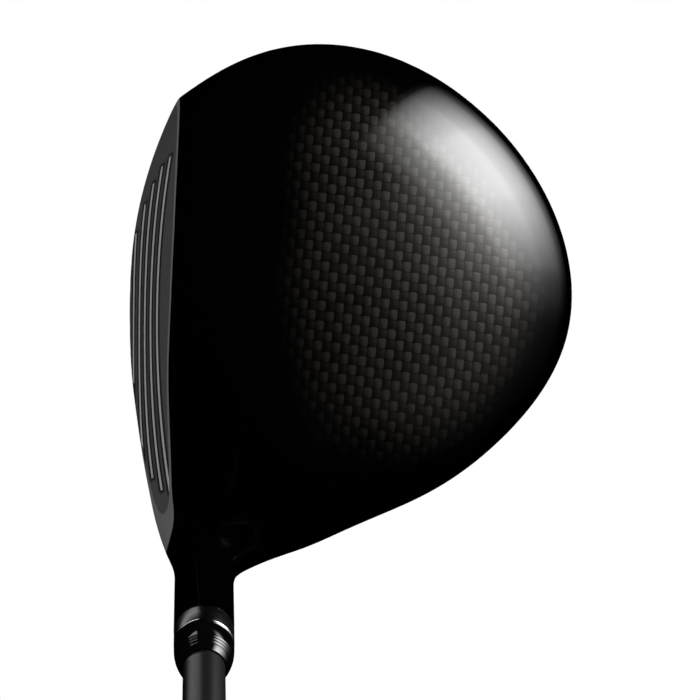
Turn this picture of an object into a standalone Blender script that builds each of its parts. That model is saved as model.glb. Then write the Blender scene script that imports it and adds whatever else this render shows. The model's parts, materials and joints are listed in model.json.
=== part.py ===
"""Golf driver, complete right-handed club, standing at address on its sole.

World frame: +Z up, -Y the way the face points, +X towards the golfer, so the
heel and shaft are at +X and the toe is at -X. The sole touches the ground at
the origin. Shapes are worked out in millimetres and stored in metres.
"""

from math import cos, radians, sin, tau

import bpy
import numpy as np
from mathutils import Matrix, Vector

MM = 0.001

# --- Driving dimensions, millimetres and degrees ---------------------------

LIE_DEG = 59.0
LOFT_DEG = 10.5
HEEL_X = 38.7  # where the hosel axis meets the ground
HEEL_Y = -24.3

# Head outline seen from above, control points of a closed spline. The points
# in front of the face only shape the section that the face cuts.
OUTLINE_CENTRE = (0.0, -6.0)
OUTLINE = (
    (-59.8, -7.9), (-59.6, 18.7), (-45.9, 43.0), (-21.2, 60.7), (8.1, 63.5),
    (31.1, 49.6), (45.9, 30.7), (55.8, 8.9), (62.7, -13.8), (52.2, -35.6),
    (29.4, -50.8), (0.0, -84.1), (-30.3, -56.5), (-45.3, -33.0),
)  # fmt: skip
EQUATOR_Z = 29.2  # height of the widest line, at the middle
EQUATOR_FALL = 0.10  # it falls towards the back by this slope
CROWN_RISE = 28.5
CROWN_FULLNESS = (2.3, 2.0)  # exponents across and up; larger is squarer
SOLE_FULLNESS = (3.0, 2.2)
CROWN_ROOT = 2.3
SOLE_ROOT = 2.4
SOLE_CAMBER_X = 211.0
SOLE_CAMBER_BACK = 280.0
SOLE_CAMBER_FRONT = 443.0
SOLE_END_RELIEF = 3.0  # how far the camber eases off at toe and heel
SOLE_RELIEF_X = -4.0
SOLE_RELIEF_REACH = 50.0
LEAST_SOLE_DROP = 5.0
KEEL_FLAT = 0.15  # the lowest part of the sole is cut flat by this much
EQUATOR_BLEND = 6.0
BODY_FRONT = -52.0  # the uncut body ends here, well in front of the face

FACE_MIDDLE = (8.2, -39.8, 22.0)
FACE_BULGE_R = 250.0  # bulge from toe to heel at the face's top
FACE_END_REACH = 33.0  # at its foot the face stays flat for longer and then turns back faster
FACE_FOOT = -17.0  # the foot's height from the middle
FACE_RISE = 45.0  # height from foot to top
FACE_ROLL_R = 900.0
FACE_BLEND = 7.0  # how softly the neck pushes the face forwards
FACE_THICKNESS = 3.0
FACE_RIM = 1.0  # width of the body's rim round the face plate
FACE_JOINT = 0.25  # gap round and behind the face plate
SCORE_HEIGHTS = (12.5, 21.4, 29.1, 36.8, 44.7)
SCORE_SPANS = ((-18.2, 29.7), (-23.9, 38.1), (-27.6, 43.3), (-30.3, 46.0), (-31.2, 44.0))
SCORE_WIDTH = 2.2
SCORE_DEPTH = 0.4
SCORE_PROUD = 0.6  # the cutting bars stand this far proud of the face

HOSEL_R = 6.75
HOSEL_BLEND = 15.5
HOSEL_BORE_R = 5.5
HOSEL_TUBE_R = 7.6  # outside of the tube that runs down inside the head
NECK_ROOT = 20.0  # station where the blended neck starts, inside the body
NECK_LOW = 34.0  # station where the turned hosel ends inside the head
NECK_CHAMFER = 0.4
NECK_COVER = 0.3  # the blended neck is this much thinner than the turned hosel
NECK_COVER_END = 7.0  # and stops this far below its top
PUSH_CLEAR = 1.0  # the neck pushes the face out to this far in front of itself
PORT_R = 6.0
# Stations along the hosel axis, from the ground.
PORT_FLOOR = 38.0
SEAT_WEB = 3.0
SCREW_HOLE_R = 3.0
COLLAR = 81.7
RING_HEIGHT = 5.9
FLANGE_TOP = 88.5
FERRULE_TOP = 98.0
FERRULE_R = 6.65
FERRULE_NOSE = 12.0  # length of the whole ellipse's half

WALL = 1.3
RIM_WALL = 2.6
RIM_WALL_START = 2.0  # the wall starts to thicken this far above the equator
RIM_WALL_REACH = 8.0
FACE_WALL_REACH = 16.0  # and this far behind the face
CAVITY_ROUND = 2.0
FACE_LAND = 1.0  # the hollow's front stops this much short of the pocket's floor
CROWN_THICKNESS = 0.9
BOND_TOP = 0.96
BOND_FOOT = 1.24
LEDGE_DEPTH = 1.30
LEDGE_WIDTH = 6.0
PANEL_GAP = 0.25
FILM_INSET = 0.4  # the adhesive stays this far inside both edges of the ledge
PANEL_TOOL_LOW, PANEL_TOOL_HIGH = 24.0, 80.0
# Outline of the carbon crown panel, control points of a closed spline.
PANEL = (
    (-50.5, -14.0), (-54.0, 2.0), (-51.0, 22.0), (-38.5, 41.0), (-16.0, 54.0),
    (7.0, 56.5), (26.5, 46.5), (39.0, 30.0), (44.0, 12.0), (37.0, -7.0),
    (20.0, -19.0), (-4.0, -22.0), (-34.0, -22.5),
)  # fmt: skip

SLEEVE_R = 5.45
SLEEVE_FOOT_R = 5.4
SLEEVE_BORE_R = 4.78
SLEEVE_FOOT = PORT_FLOOR + SEAT_WEB + 0.5
SPLINE_COUNT = 12
SPLINE_HEIGHT = 6.0
SPLINE_DEPTH = 0.7
SPLINE_SLOT = 1.4
FLANGE_R = 6.7
SCREW_R = 2.5
SCREW_HEAD_R = 4.75
SCREW_HEAD_HEIGHT = 5.0
SCREW_TIP = 53.0
WASHER_THICKNESS = 1.6
WASHER_R = 5.45
SEAT_GAP = 0.1
THREAD_HOLE_R = 2.6
THREAD_HOLE_TOP = 55.0
SHAFT_SEAT = 57.5

SHAFT_TIP_R = 4.62
SHAFT_BUTT_R = 7.6
SHAFT_PARALLEL = 170.0  # the tip is parallel up to this station
SHAFT_WALL = 1.25
SHAFT_BUTT_WALL = 0.9
SHAFT_END = 1143.0
GRIP_MOUTH = 880.0
GRIP_END = 1143.2
CLUB_END = 1149.0
TAPE = 0.3
# Radii and stations of the grip's outside, from its butt to its mouth.
GRIP_PROFILE = (
    (13.4, GRIP_END), (13.5, 1120.0), (13.1, 1080.0), (12.4, 1020.0), (11.5, 960.0), (10.7, 910.0),
    (10.3, 890.0), (9.9, GRIP_MOUTH + 1.5), (9.0, GRIP_MOUTH),
)  # fmt: skip
VENT_R = 1.2

WEIGHT_AT = (2.0, 44.0, 9.6)
WEIGHT_TILT_DEG = 27.0  # its axis leans back from straight down
WEIGHT_R = 6.8
WEIGHT_SHANK_R = 4.0
WEIGHT_CAP = 4.0
WEIGHT_LENGTH = 10.5
WEIGHT_BOSS_R = 9.2
WEIGHT_BOSS_END = 3.0  # metal past the end of the weight
WEIGHT_PORT_GAP = 0.3
WEIGHT_THREAD_GAP = 0.08
WEIGHT_SEAT_GAP = 1.3  # room for the seal under the cap
WEIGHT_END_GAP = 1.0
KEY_SOCKET = (2.25, 1.65, 6)  # six-lobed key socket of both screws: radii and lobes
KEY_SOCKET_DEPTH = 3.0

# The damping patch: a dome of radii and heights on the inner sole.
PATCH_MIDDLE = (-14.0, 8.0)
PATCH_FLOOR = 1.9
PATCH_BELOW = 8.0  # the dome's sides run this far below the floor before they are cut
PATCH_GAP = 0.2
PATCH_DOME = ((13.0, 0.0), (12.4, 1.0), (10.5, 1.8), (7.0, 2.4), (3.0, 2.6))

CELL = 6.1
CAVITY_CELL = 7.6
FACE_CELL = 7.0
FACE_TOOL_LOW = (-80.0, -14.0)  # x and z that the face tools cover, short of the hosel's top
FACE_TOOL_HIGH = (70.0, 70.0)
FACE_TOOL_FRONT = -110.0
GROUND_HALF = 90.0
PANEL_STEPS = 40
PAST = 10.0  # how far cutting tools reach past what they cut
TURN_STEPS = 28
SHAFT_STEPS = 24

AXIS = np.array([cos(radians(LIE_DEG)), 0.0, sin(radians(LIE_DEG))])
HEEL = np.array([HEEL_X, HEEL_Y, 0.0])
WEIGHT_OUT = np.array([0.0, sin(radians(WEIGHT_TILT_DEG)), -cos(radians(WEIGHT_TILT_DEG))])
HEAD_LOW = (-72.0, -60.0, -8.0)
HEAD_HIGH = (90.0, 74.0, 84.0)


# --- Closed splines ---------------------------------------------------------


def polar_spline(points, centre):
    """Radius as a smooth function of the angle about centre, through the points."""
    offsets = np.array(points, float) - centre
    angle = np.arctan2(offsets[:, 1], offsets[:, 0])
    order = np.argsort(angle)
    angle, radius = angle[order], np.hypot(*offsets[order].T)
    count = len(angle)
    knots = np.append(angle, angle[0] + tau)
    values = np.append(radius, radius[0])
    step = np.diff(knots)
    slopes = np.diff(values) / step
    matrix, right = np.zeros((count, count)), np.zeros(count)
    for i in range(count):
        matrix[i, (i - 1) % count] += step[i - 1]
        matrix[i, i] += 2 * (step[i - 1] + step[i])
        matrix[i, (i + 1) % count] += step[i]
        right[i] = 6 * (slopes[i] - slopes[i - 1])
    bend = np.linalg.solve(matrix, right)
    bend = np.append(bend, bend[0])

    def radius_at(theta):
        theta = (theta - knots[0]) % tau + knots[0]
        k = np.clip(np.searchsorted(knots, theta, side="right") - 1, 0, count - 1)
        a, b, h = theta - knots[k], knots[k + 1] - theta, step[k]
        return (
            (bend[k] * b**3 + bend[k + 1] * a**3) / (6 * h)
            + (values[k] / h - bend[k] * h / 6) * b
            + (values[k + 1] / h - bend[k + 1] * h / 6) * a
        )

    return radius_at


def closed_curve(points, count, grow=0.0):
    """Points of the closed spline, moved outwards by grow."""
    centre = np.mean(points, axis=0)
    radius_at = polar_spline(points, centre)
    theta = np.linspace(0, tau, count, endpoint=False)
    ring = centre + radius_at(theta)[:, None] * np.stack([np.cos(theta), np.sin(theta)], 1)
    along = np.roll(ring, -1, 0) - np.roll(ring, 1, 0)
    out = np.stack([along[:, 1], -along[:, 0]], 1)
    return ring + grow * out / np.linalg.norm(out, axis=1)[:, None]


# --- The head as distances, negative inside ---------------------------------

OUTLINE_RADIUS = polar_spline(OUTLINE, OUTLINE_CENTRE)


def smooth_min(a, b, width):
    h = np.maximum(width - np.abs(a - b), 0) / width
    return np.minimum(a, b) - h * h * width / 4


def smooth_max(a, b, width):
    return -smooth_min(-a, -b, width)


def slope(field, p, reach=0.05):
    """Gradient of a field at each point."""
    return np.stack(
        [(field(p + reach * e) - field(p - reach * e)) / (2 * reach) for e in np.eye(3)],
        axis=-1,
    )


def body_level(p):
    x, y, z = p[..., 0], p[..., 1], p[..., 2]
    dx, dy = x - OUTLINE_CENTRE[0], y - OUTLINE_CENTRE[1]
    out = np.hypot(dx, dy) / OUTLINE_RADIUS(np.arctan2(dy, dx))
    equator = EQUATOR_Z - EQUATOR_FALL * y
    keel = (
        x**2 / SOLE_CAMBER_X
        - SOLE_END_RELIEF * (np.clip(x - SOLE_RELIEF_X, -70, 70) / SOLE_RELIEF_REACH) ** 4
        + np.where(y > 0, y**2 / SOLE_CAMBER_BACK, y**2 / SOLE_CAMBER_FRONT)
        - KEEL_FLAT
    )
    above = np.maximum(z - equator, 0) / CROWN_RISE
    below = np.maximum(equator - z, 0) / np.maximum(equator - keel, LEAST_SOLE_DROP)
    crown = (out ** CROWN_FULLNESS[0] + above ** CROWN_FULLNESS[1]) ** (1 / CROWN_ROOT)
    sole = (out ** SOLE_FULLNESS[0] + below ** SOLE_FULLNESS[1]) ** (1 / SOLE_ROOT)
    mix = np.clip((z - equator) / (2 * EQUATOR_BLEND) + 0.5, 0, 1)
    mix = mix * mix * (3 - 2 * mix)
    return sole * (1 - mix) + crown * mix - 1


def body(p):
    steep = np.linalg.norm(slope(body_level, p), axis=-1)
    return np.maximum(body_level(p) / np.maximum(steep, 0.004), BODY_FRONT - p[..., 1])


def along_hosel(p):
    """Distance from the hosel axis, and the station along it."""
    v = p - HEEL
    station = v @ AXIS
    return np.linalg.norm(v - station[..., None] * AXIS, axis=-1), station


def hosel(p, radius, high):
    distance, station = along_hosel(p)
    return np.maximum(distance - radius, np.maximum(station - high, NECK_ROOT - station))


FACE_OUT = np.array([0.0, -cos(radians(LOFT_DEG)), sin(radians(LOFT_DEG))])
FACE_UP = np.array([0.0, sin(radians(LOFT_DEG)), cos(radians(LOFT_DEG))])


def face(p):
    v = p - np.array(FACE_MIDDLE)
    up = v @ FACE_UP
    top = (up - FACE_FOOT) / FACE_RISE
    bulge = top * v[..., 0] ** 2 / (2 * FACE_BULGE_R) + (1 - top) * (v[..., 0] / FACE_END_REACH) ** 4
    return v @ FACE_OUT + bulge + up**2 / (2 * FACE_ROLL_R)


def outer(p):
    """The head with its neck, before the face is cut. The neck ends thin, and a turned hosel covers it."""
    return smooth_min(body(p), hosel(p, HOSEL_R - NECK_COVER, COLLAR - NECK_COVER_END), HOSEL_BLEND)


def front(p):
    """The face surface, which the neck pushes forwards near the heel."""
    distance, _ = along_hosel(p)
    return smooth_min(face(p), distance - HOSEL_R - PUSH_CLEAR, FACE_BLEND)


def cavity(p):
    b, f = body(p), face(p)
    equator = EQUATOR_Z - EQUATOR_FALL * p[..., 1]
    near_rim = np.maximum(p[..., 2] - equator - RIM_WALL_START, f + FACE_WALL_REACH) / RIM_WALL_REACH
    thick = WALL + (RIM_WALL - WALL) * np.clip(near_rim, 0, 1)
    return smooth_max(b + thick, f + FACE_THICKNESS - FACE_LAND, CAVITY_ROUND)


# --- Meshes from fields ------------------------------------------------------


def surface_of(field, low, high, cell):
    """A closed triangle mesh of field = 0, with one point in each grid cell that it crosses."""
    lines = [np.arange(a, b + cell, cell) for a, b in zip(low, high)]
    grid = np.stack(np.meshgrid(*lines, indexing="ij"), -1)
    value = field(grid)
    cells = tuple(n - 1 for n in value.shape)
    total, hits, quads = np.zeros((*cells, 3)), np.zeros(cells), []
    for axis in range(3):
        near, far = [slice(None)] * 3, [slice(None)] * 3
        near[axis], far[axis] = slice(0, -1), slice(1, None)
        v0, v1 = value[tuple(near)], value[tuple(far)]
        crossed = np.nonzero((v0 < 0) != (v1 < 0))
        share = v0[crossed] / (v0[crossed] - v1[crossed])
        g0, g1 = grid[tuple(near)][crossed], grid[tuple(far)][crossed]
        points = g0 + share[:, None] * (g1 - g0)
        u, v = (axis + 1) % 3, (axis + 2) % 3
        corners = []
        for du, dv in ((0, 0), (1, 0), (1, 1), (0, 1)):
            corner = np.stack(crossed, 1)
            corner[:, u] -= du
            corner[:, v] -= dv
            np.add.at(total, tuple(corner.T), points)
            np.add.at(hits, tuple(corner.T), 1)
            corners.append(corner)
        quad = np.stack(corners, 1)
        turned_round = v0[crossed] > 0
        quad[turned_round] = quad[turned_round][:, ::-1]
        quads.append(quad)
    used = hits > 0
    numbers = np.zeros(cells, int)
    numbers[used] = np.arange(used.sum())
    points = total[used] / hits[used][:, None]
    faces = numbers[tuple(np.moveaxis(np.concatenate(quads), -1, 0))]
    faces = np.concatenate([faces[:, [0, 1, 2]], faces[:, [0, 2, 3]]])
    for _ in range(4):
        gradient = slope(field, points)
        length = np.maximum((gradient**2).sum(-1), 1e-6)
        points = points - np.clip(field(points) / length, -2, 2)[:, None] * gradient
    return points, faces


def inset(shape, field, depth):
    """The same mesh with every point moved inwards by depth."""
    points, faces = shape
    gradient = slope(field, points)
    return points - depth * gradient / np.linalg.norm(gradient, axis=1)[:, None], faces


def front_y(x, z, sink):
    """Where a line from the front at x, z reaches sink behind the face surface."""
    y = np.full(x.shape, FACE_TOOL_FRONT)
    for _ in range(60):
        y = y + 0.9 * (front(np.stack([x, y, z], -1)) + sink)
    return y


def front_slab(near, far):
    """A solid between two copies of the face surface. Without near, it starts well in front."""
    xs, zs = (np.arange(a, b, FACE_CELL) for a, b in zip(FACE_TOOL_LOW, FACE_TOOL_HIGH))
    x, z = np.meshgrid(xs, zs, indexing="ij")
    layers = [np.full(x.shape, FACE_TOOL_FRONT) if near is None else front_y(x, z, near), front_y(x, z, far)]
    points = np.concatenate([np.stack([x, y, z], -1).reshape(-1, 3) for y in layers])
    rows, columns = x.shape
    number = np.arange(rows * columns).reshape(rows, columns)
    a, b, c, d = number[:-1, :-1], number[1:, :-1], number[1:, 1:], number[:-1, 1:]
    sheet = np.stack([a, b, c, d], -1).reshape(-1, 4)
    rim = np.concatenate([number[:, 0], number[-1, 1:], number[-2::-1, -1], number[0, -2:0:-1]])
    wall = np.stack([np.roll(rim, -1), rim, rim + number.size, np.roll(rim, -1) + number.size], -1)
    return points, np.concatenate([sheet, sheet[:, ::-1] + number.size, wall])


def prism(ring, low, high):
    """A solid with this plan outline, given anticlockwise."""
    count = len(ring)
    points = np.concatenate([np.column_stack([ring, np.full(count, z)]) for z in (low, high)])
    walls = [(i, (i + 1) % count, (i + 1) % count + count, i + count) for i in range(count)]
    return points, [tuple(reversed(range(count))), tuple(range(count, 2 * count)), *walls]


# --- Blender objects ---------------------------------------------------------


def material(name, colour, metallic, roughness, coat=0.0):
    made = bpy.data.materials.new(name)
    made.use_nodes = True
    made.diffuse_color = (*colour, 1)
    shader = made.node_tree.nodes["Principled BSDF"]
    shader.inputs["Base Color"].default_value = (*colour, 1)
    shader.inputs["Metallic"].default_value = metallic
    shader.inputs["Roughness"].default_value = roughness
    shader.inputs["Coat Weight"].default_value = coat
    return made


def add_object(name, mesh, made_of=None, parent=None):
    obj = bpy.data.objects.new(name, mesh)
    bpy.context.scene.collection.objects.link(obj)
    obj.parent = parent
    if made_of:
        mesh.materials.append(made_of)
    return obj


def solid(name, shape, made_of=None, smooth=True):
    """An object from points in millimetres and faces."""
    points, faces = shape
    mesh = bpy.data.meshes.new(name)
    mesh.from_pydata([tuple(p) for p in np.asarray(points) * MM], [], [tuple(map(int, f)) for f in faces])
    mesh.validate()
    if smooth:
        mesh.shade_smooth()
    return add_object(name, mesh, made_of)


def turned(name, profile, parent=None, made_of=None, steps=TURN_STEPS):
    """A solid of revolution about the parent's Z. The profile is (radius, height) in millimetres. It runs down the outer side, and is closed unless both ends are on the axis."""
    count = len(profile)
    mesh = bpy.data.meshes.new(name)
    edges = [(i, i + 1) for i in range(count - 1)]
    if profile[0][0] > 0:
        edges.append((count - 1, 0))
    mesh.from_pydata([(r * MM, 0, z * MM) for r, z in profile], edges, [])
    obj = add_object(name, mesh, made_of, parent)
    turn = obj.modifiers.new("turn", "SCREW")
    turn.steps = turn.render_steps = steps
    turn.use_merge_vertices = True
    turn.merge_threshold = 1e-5
    turn.use_smooth_shade = True
    return obj


def tool(obj):
    obj.hide_render = True
    obj.display_type = "WIRE"
    return obj


def combine(obj, other, operation):
    step = obj.modifiers.new(f"{operation.lower()} {other.name}", "BOOLEAN")
    step.operation = operation
    step.solver = "EXACT"
    step.object = other


def axis_empty(name, at, direction):
    """An empty with its Z along direction and its Y along the world's Y where it can be."""
    z = Vector(direction).normalized()
    x = Vector((0, 1, 0)).cross(z)
    if x.length < 0.1:
        x = Vector((1, 0, 0))
    x.normalize()
    empty = bpy.data.objects.new(name, None)
    empty.matrix_world = Matrix.Translation(Vector(at) * MM) @ Matrix((x, z.cross(x), z)).transposed().to_4x4()
    bpy.context.scene.collection.objects.link(empty)
    return empty


def lobed_prism(name, parent, outer_r, inner_r, lobes, low, high):
    """A prism with a lobed outline, for drive sockets."""
    count = lobes * 6
    ring = []
    for i in range(count):
        angle = tau * i / count
        r = (outer_r + inner_r) / 2 + (outer_r - inner_r) / 2 * cos(lobes * angle)
        ring.append((r * cos(angle), r * sin(angle)))
    obj = solid(name, prism(np.array(ring), low, high), smooth=False)
    obj.parent = parent
    return tool(obj)


# --- The club ----------------------------------------------------------------


def cut_score_lines(plate):
    """Each score line is a shallow bar that follows the face's bulge."""
    for number, (height, (start, end)) in enumerate(zip(SCORE_HEIGHTS, SCORE_SPANS), 1):
        xs = np.linspace(start, end, 9)
        section = []
        for dz, sink in ((-0.5, -SCORE_PROUD), (0.5, -SCORE_PROUD), (0.5, SCORE_DEPTH), (-0.5, SCORE_DEPTH)):
            z = np.full(xs.shape, height + dz * SCORE_WIDTH)
            section.append(np.stack([xs, front_y(xs, z, sink), z], -1))
        points = np.stack(section, 1).reshape(-1, 3)
        faces = [(0, 1, 2, 3), tuple(4 * (len(xs) - 1) + i for i in (3, 2, 1, 0))]
        for k in range(len(xs) - 1):
            for i in range(4):
                j = (i + 1) % 4
                faces.append((4 * k + j, 4 * k + i, 4 * k + 4 + i, 4 * k + 4 + j))
        combine(plate, tool(solid(f"score_tool_{number}", (points, faces), smooth=False)), "DIFFERENCE")


def build_head(paint, face_finish, carbon, glue, hosel_axis, weight_axis):
    skin = surface_of(outer, HEAD_LOW, HEAD_HIGH, CELL)

    neck = tool(
        turned(
            "neck_tool",
            [
                (0, COLLAR), (HOSEL_R - NECK_CHAMFER, COLLAR), (HOSEL_R, COLLAR - NECK_CHAMFER),
                (HOSEL_R, NECK_LOW), (0, NECK_LOW),
            ],
            hosel_axis,
        )
    )  # fmt: skip
    face_cut = tool(solid("face_tool", front_slab(None, 0.0)))
    # The hollow goes round the hosel's tube and the rear weight's boss.
    inside = tool(solid("cavity_tool", surface_of(cavity, HEAD_LOW, HEAD_HIGH, CAVITY_CELL)))
    tube_top = COLLAR + PAST
    tube = [(0, tube_top), (HOSEL_TUBE_R, tube_top), (HOSEL_TUBE_R, -2 * PAST), (0, -2 * PAST)]
    combine(inside, tool(turned("hosel_tube_tool", tube, hosel_axis)), "DIFFERENCE")
    boss_top = -WEIGHT_LENGTH - WEIGHT_BOSS_END
    boss = [(0, PAST), (WEIGHT_BOSS_R, PAST), (WEIGHT_BOSS_R, boss_top), (0, boss_top)]
    combine(inside, tool(turned("weight_boss_tool", boss, weight_axis)), "DIFFERENCE")

    # The hosel bore, the web that the screw pulls on, and the tool port in the sole.
    bore = tool(
        turned(
            "hosel_bore_tool",
            [
                (0, COLLAR + PAST), (HOSEL_BORE_R, COLLAR + PAST), (HOSEL_BORE_R, PORT_FLOOR + SEAT_WEB),
                (SCREW_HOLE_R, PORT_FLOOR + SEAT_WEB), (SCREW_HOLE_R, PORT_FLOOR), (PORT_R, PORT_FLOOR),
                (PORT_R, -PAST), (0, -PAST),
            ],
            hosel_axis,
        )
    )  # fmt: skip
    port_r, thread_r = WEIGHT_R + WEIGHT_PORT_GAP, WEIGHT_SHANK_R + WEIGHT_THREAD_GAP
    seat, port_end = -WEIGHT_CAP - WEIGHT_SEAT_GAP, -WEIGHT_LENGTH - WEIGHT_END_GAP
    weight_port = tool(
        turned(
            "weight_port_tool",
            [
                (0, PAST), (port_r, PAST), (port_r, seat), (thread_r, seat), (thread_r, port_end), (0, port_end),
            ],
            weight_axis,
        )
    )  # fmt: skip

    # Face plate, and the pocket that it is welded into.
    section = surface_of(body, HEAD_LOW, HEAD_HIGH, CELL)
    plate_edge = tool(solid("plate_edge_tool", inset(section, body, FACE_RIM)))
    pocket_edge = tool(solid("pocket_edge_tool", inset(section, body, FACE_RIM - FACE_JOINT)))
    pocket = tool(solid("pocket_tool", front_slab(None, FACE_THICKNESS + FACE_JOINT)))
    combine(pocket, pocket_edge, "INTERSECT")
    plate = solid("face_plate", front_slab(0.0, FACE_THICKNESS), face_finish)
    cut_score_lines(plate)
    combine(plate, plate_edge, "INTERSECT")

    # Carbon crown, its adhesive, the recess it sits in and the opening below it.
    def panel_prism(name, grow):
        return tool(solid(name, prism(closed_curve(PANEL, PANEL_STEPS, grow), PANEL_TOOL_LOW, PANEL_TOOL_HIGH), smooth=False))

    panel_edge = panel_prism("panel_edge_tool", 0.0)
    recess_edge = panel_prism("recess_edge_tool", PANEL_GAP)
    film_edge = panel_prism("film_edge_tool", -FILM_INSET)
    film_hole = panel_prism("film_hole_tool", FILM_INSET - LEDGE_WIDTH)
    opening = panel_prism("crown_opening_tool", -LEDGE_WIDTH)
    under_panel = tool(solid("under_panel_tool", inset(skin, outer, CROWN_THICKNESS)))
    under_film = tool(solid("under_film_tool", inset(skin, outer, BOND_FOOT)))
    ledge = tool(solid("ledge_tool", inset(skin, outer, LEDGE_DEPTH)))
    combine(recess_edge, ledge, "DIFFERENCE")

    crown = solid("crown_panel", skin, carbon)
    combine(crown, panel_edge, "INTERSECT")
    combine(crown, under_panel, "DIFFERENCE")
    bond = solid("crown_bond", inset(skin, outer, BOND_TOP), glue)
    combine(bond, film_edge, "INTERSECT")
    combine(bond, film_hole, "DIFFERENCE")
    combine(bond, under_film, "DIFFERENCE")

    square = np.array([(-1, -1), (1, -1), (1, 1), (-1, 1)]) * GROUND_HALF
    ground = tool(solid("ground_tool", prism(square, -GROUND_HALF, 0.0), smooth=False))
    head = solid("head_body", skin, paint)
    combine(head, neck, "UNION")
    combine(head, face_cut, "DIFFERENCE")
    for cut in (pocket, recess_edge, opening, inside, bore, weight_port, ground):
        combine(head, cut, "DIFFERENCE")


def build_inside(glue):
    """Hot-melt pad on the inner sole, shaped underneath by the floor that it lies on."""
    angles = np.linspace(0, tau, 24, endpoint=False)
    around = np.column_stack([np.cos(angles), np.sin(angles)])
    levels = [(PATCH_DOME[0][0], -PATCH_BELOW), *PATCH_DOME]
    points = [(*(PATCH_MIDDLE + r * way), PATCH_FLOOR + h) for r, h in levels for way in around]
    count = len(angles)
    faces = [tuple(reversed(range(count))), tuple(range(len(points) - count, len(points)))]
    for k in range(len(levels) - 1):
        for i in range(count):
            j = (i + 1) % count
            faces.append((k * count + i, k * count + j, (k + 1) * count + j, (k + 1) * count + i))
    patch = solid("damping_patch", (np.array(points), faces), glue)
    room = tool(solid("patch_floor_tool", inset(surface_of(cavity, HEAD_LOW, HEAD_HIGH, CAVITY_CELL), cavity, PATCH_GAP)))
    combine(patch, room, "INTERSECT")


def build_hosel_screw(steel, rubber, hosel_axis):
    washer_top = PORT_FLOOR - SEAT_GAP
    washer_foot = washer_top - WASHER_THICKNESS
    head_top = washer_foot - SEAT_GAP
    head_foot = head_top - SCREW_HEAD_HEIGHT
    turned(
        "hosel_screw_washer",
        [
            (WASHER_R - 0.2, washer_top), (WASHER_R, washer_top - 0.2),
            (WASHER_R, washer_foot + 0.5), (WASHER_R - 0.5, washer_foot),
            (SCREW_R + 0.15, washer_foot), (SCREW_R + 0.15, washer_top),
        ],
        hosel_axis, steel,
    )  # fmt: skip
    turned(
        "hosel_screw_retainer",
        [
            (SCREW_HOLE_R - 0.15, PORT_FLOOR + 1.6), (SCREW_HOLE_R - 0.07, PORT_FLOOR + 1.3),
            (SCREW_HOLE_R - 0.07, PORT_FLOOR + 0.4), (SCREW_HOLE_R - 0.15, PORT_FLOOR + 0.1),
            (SCREW_R + 0.06, PORT_FLOOR + 0.1), (SCREW_R + 0.06, PORT_FLOOR + 1.6),
        ],
        hosel_axis, rubber,
    )  # fmt: skip
    screw = turned(
        "hosel_screw",
        [
            (0, SCREW_TIP), (SCREW_R - 0.6, SCREW_TIP), (SCREW_R, SCREW_TIP - 0.6), (SCREW_R, head_top),
            (SCREW_HEAD_R - 0.2, head_top), (SCREW_HEAD_R, head_top - 0.2), (SCREW_HEAD_R, head_foot + 0.6),
            (SCREW_HEAD_R - 0.6, head_foot), (0, head_foot),
        ],
        hosel_axis, steel,
    )  # fmt: skip
    socket = lobed_prism("screw_socket_tool", hosel_axis, *KEY_SOCKET, head_foot - 1.0, head_foot + KEY_SOCKET_DEPTH)
    combine(screw, socket, "DIFFERENCE")


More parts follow.
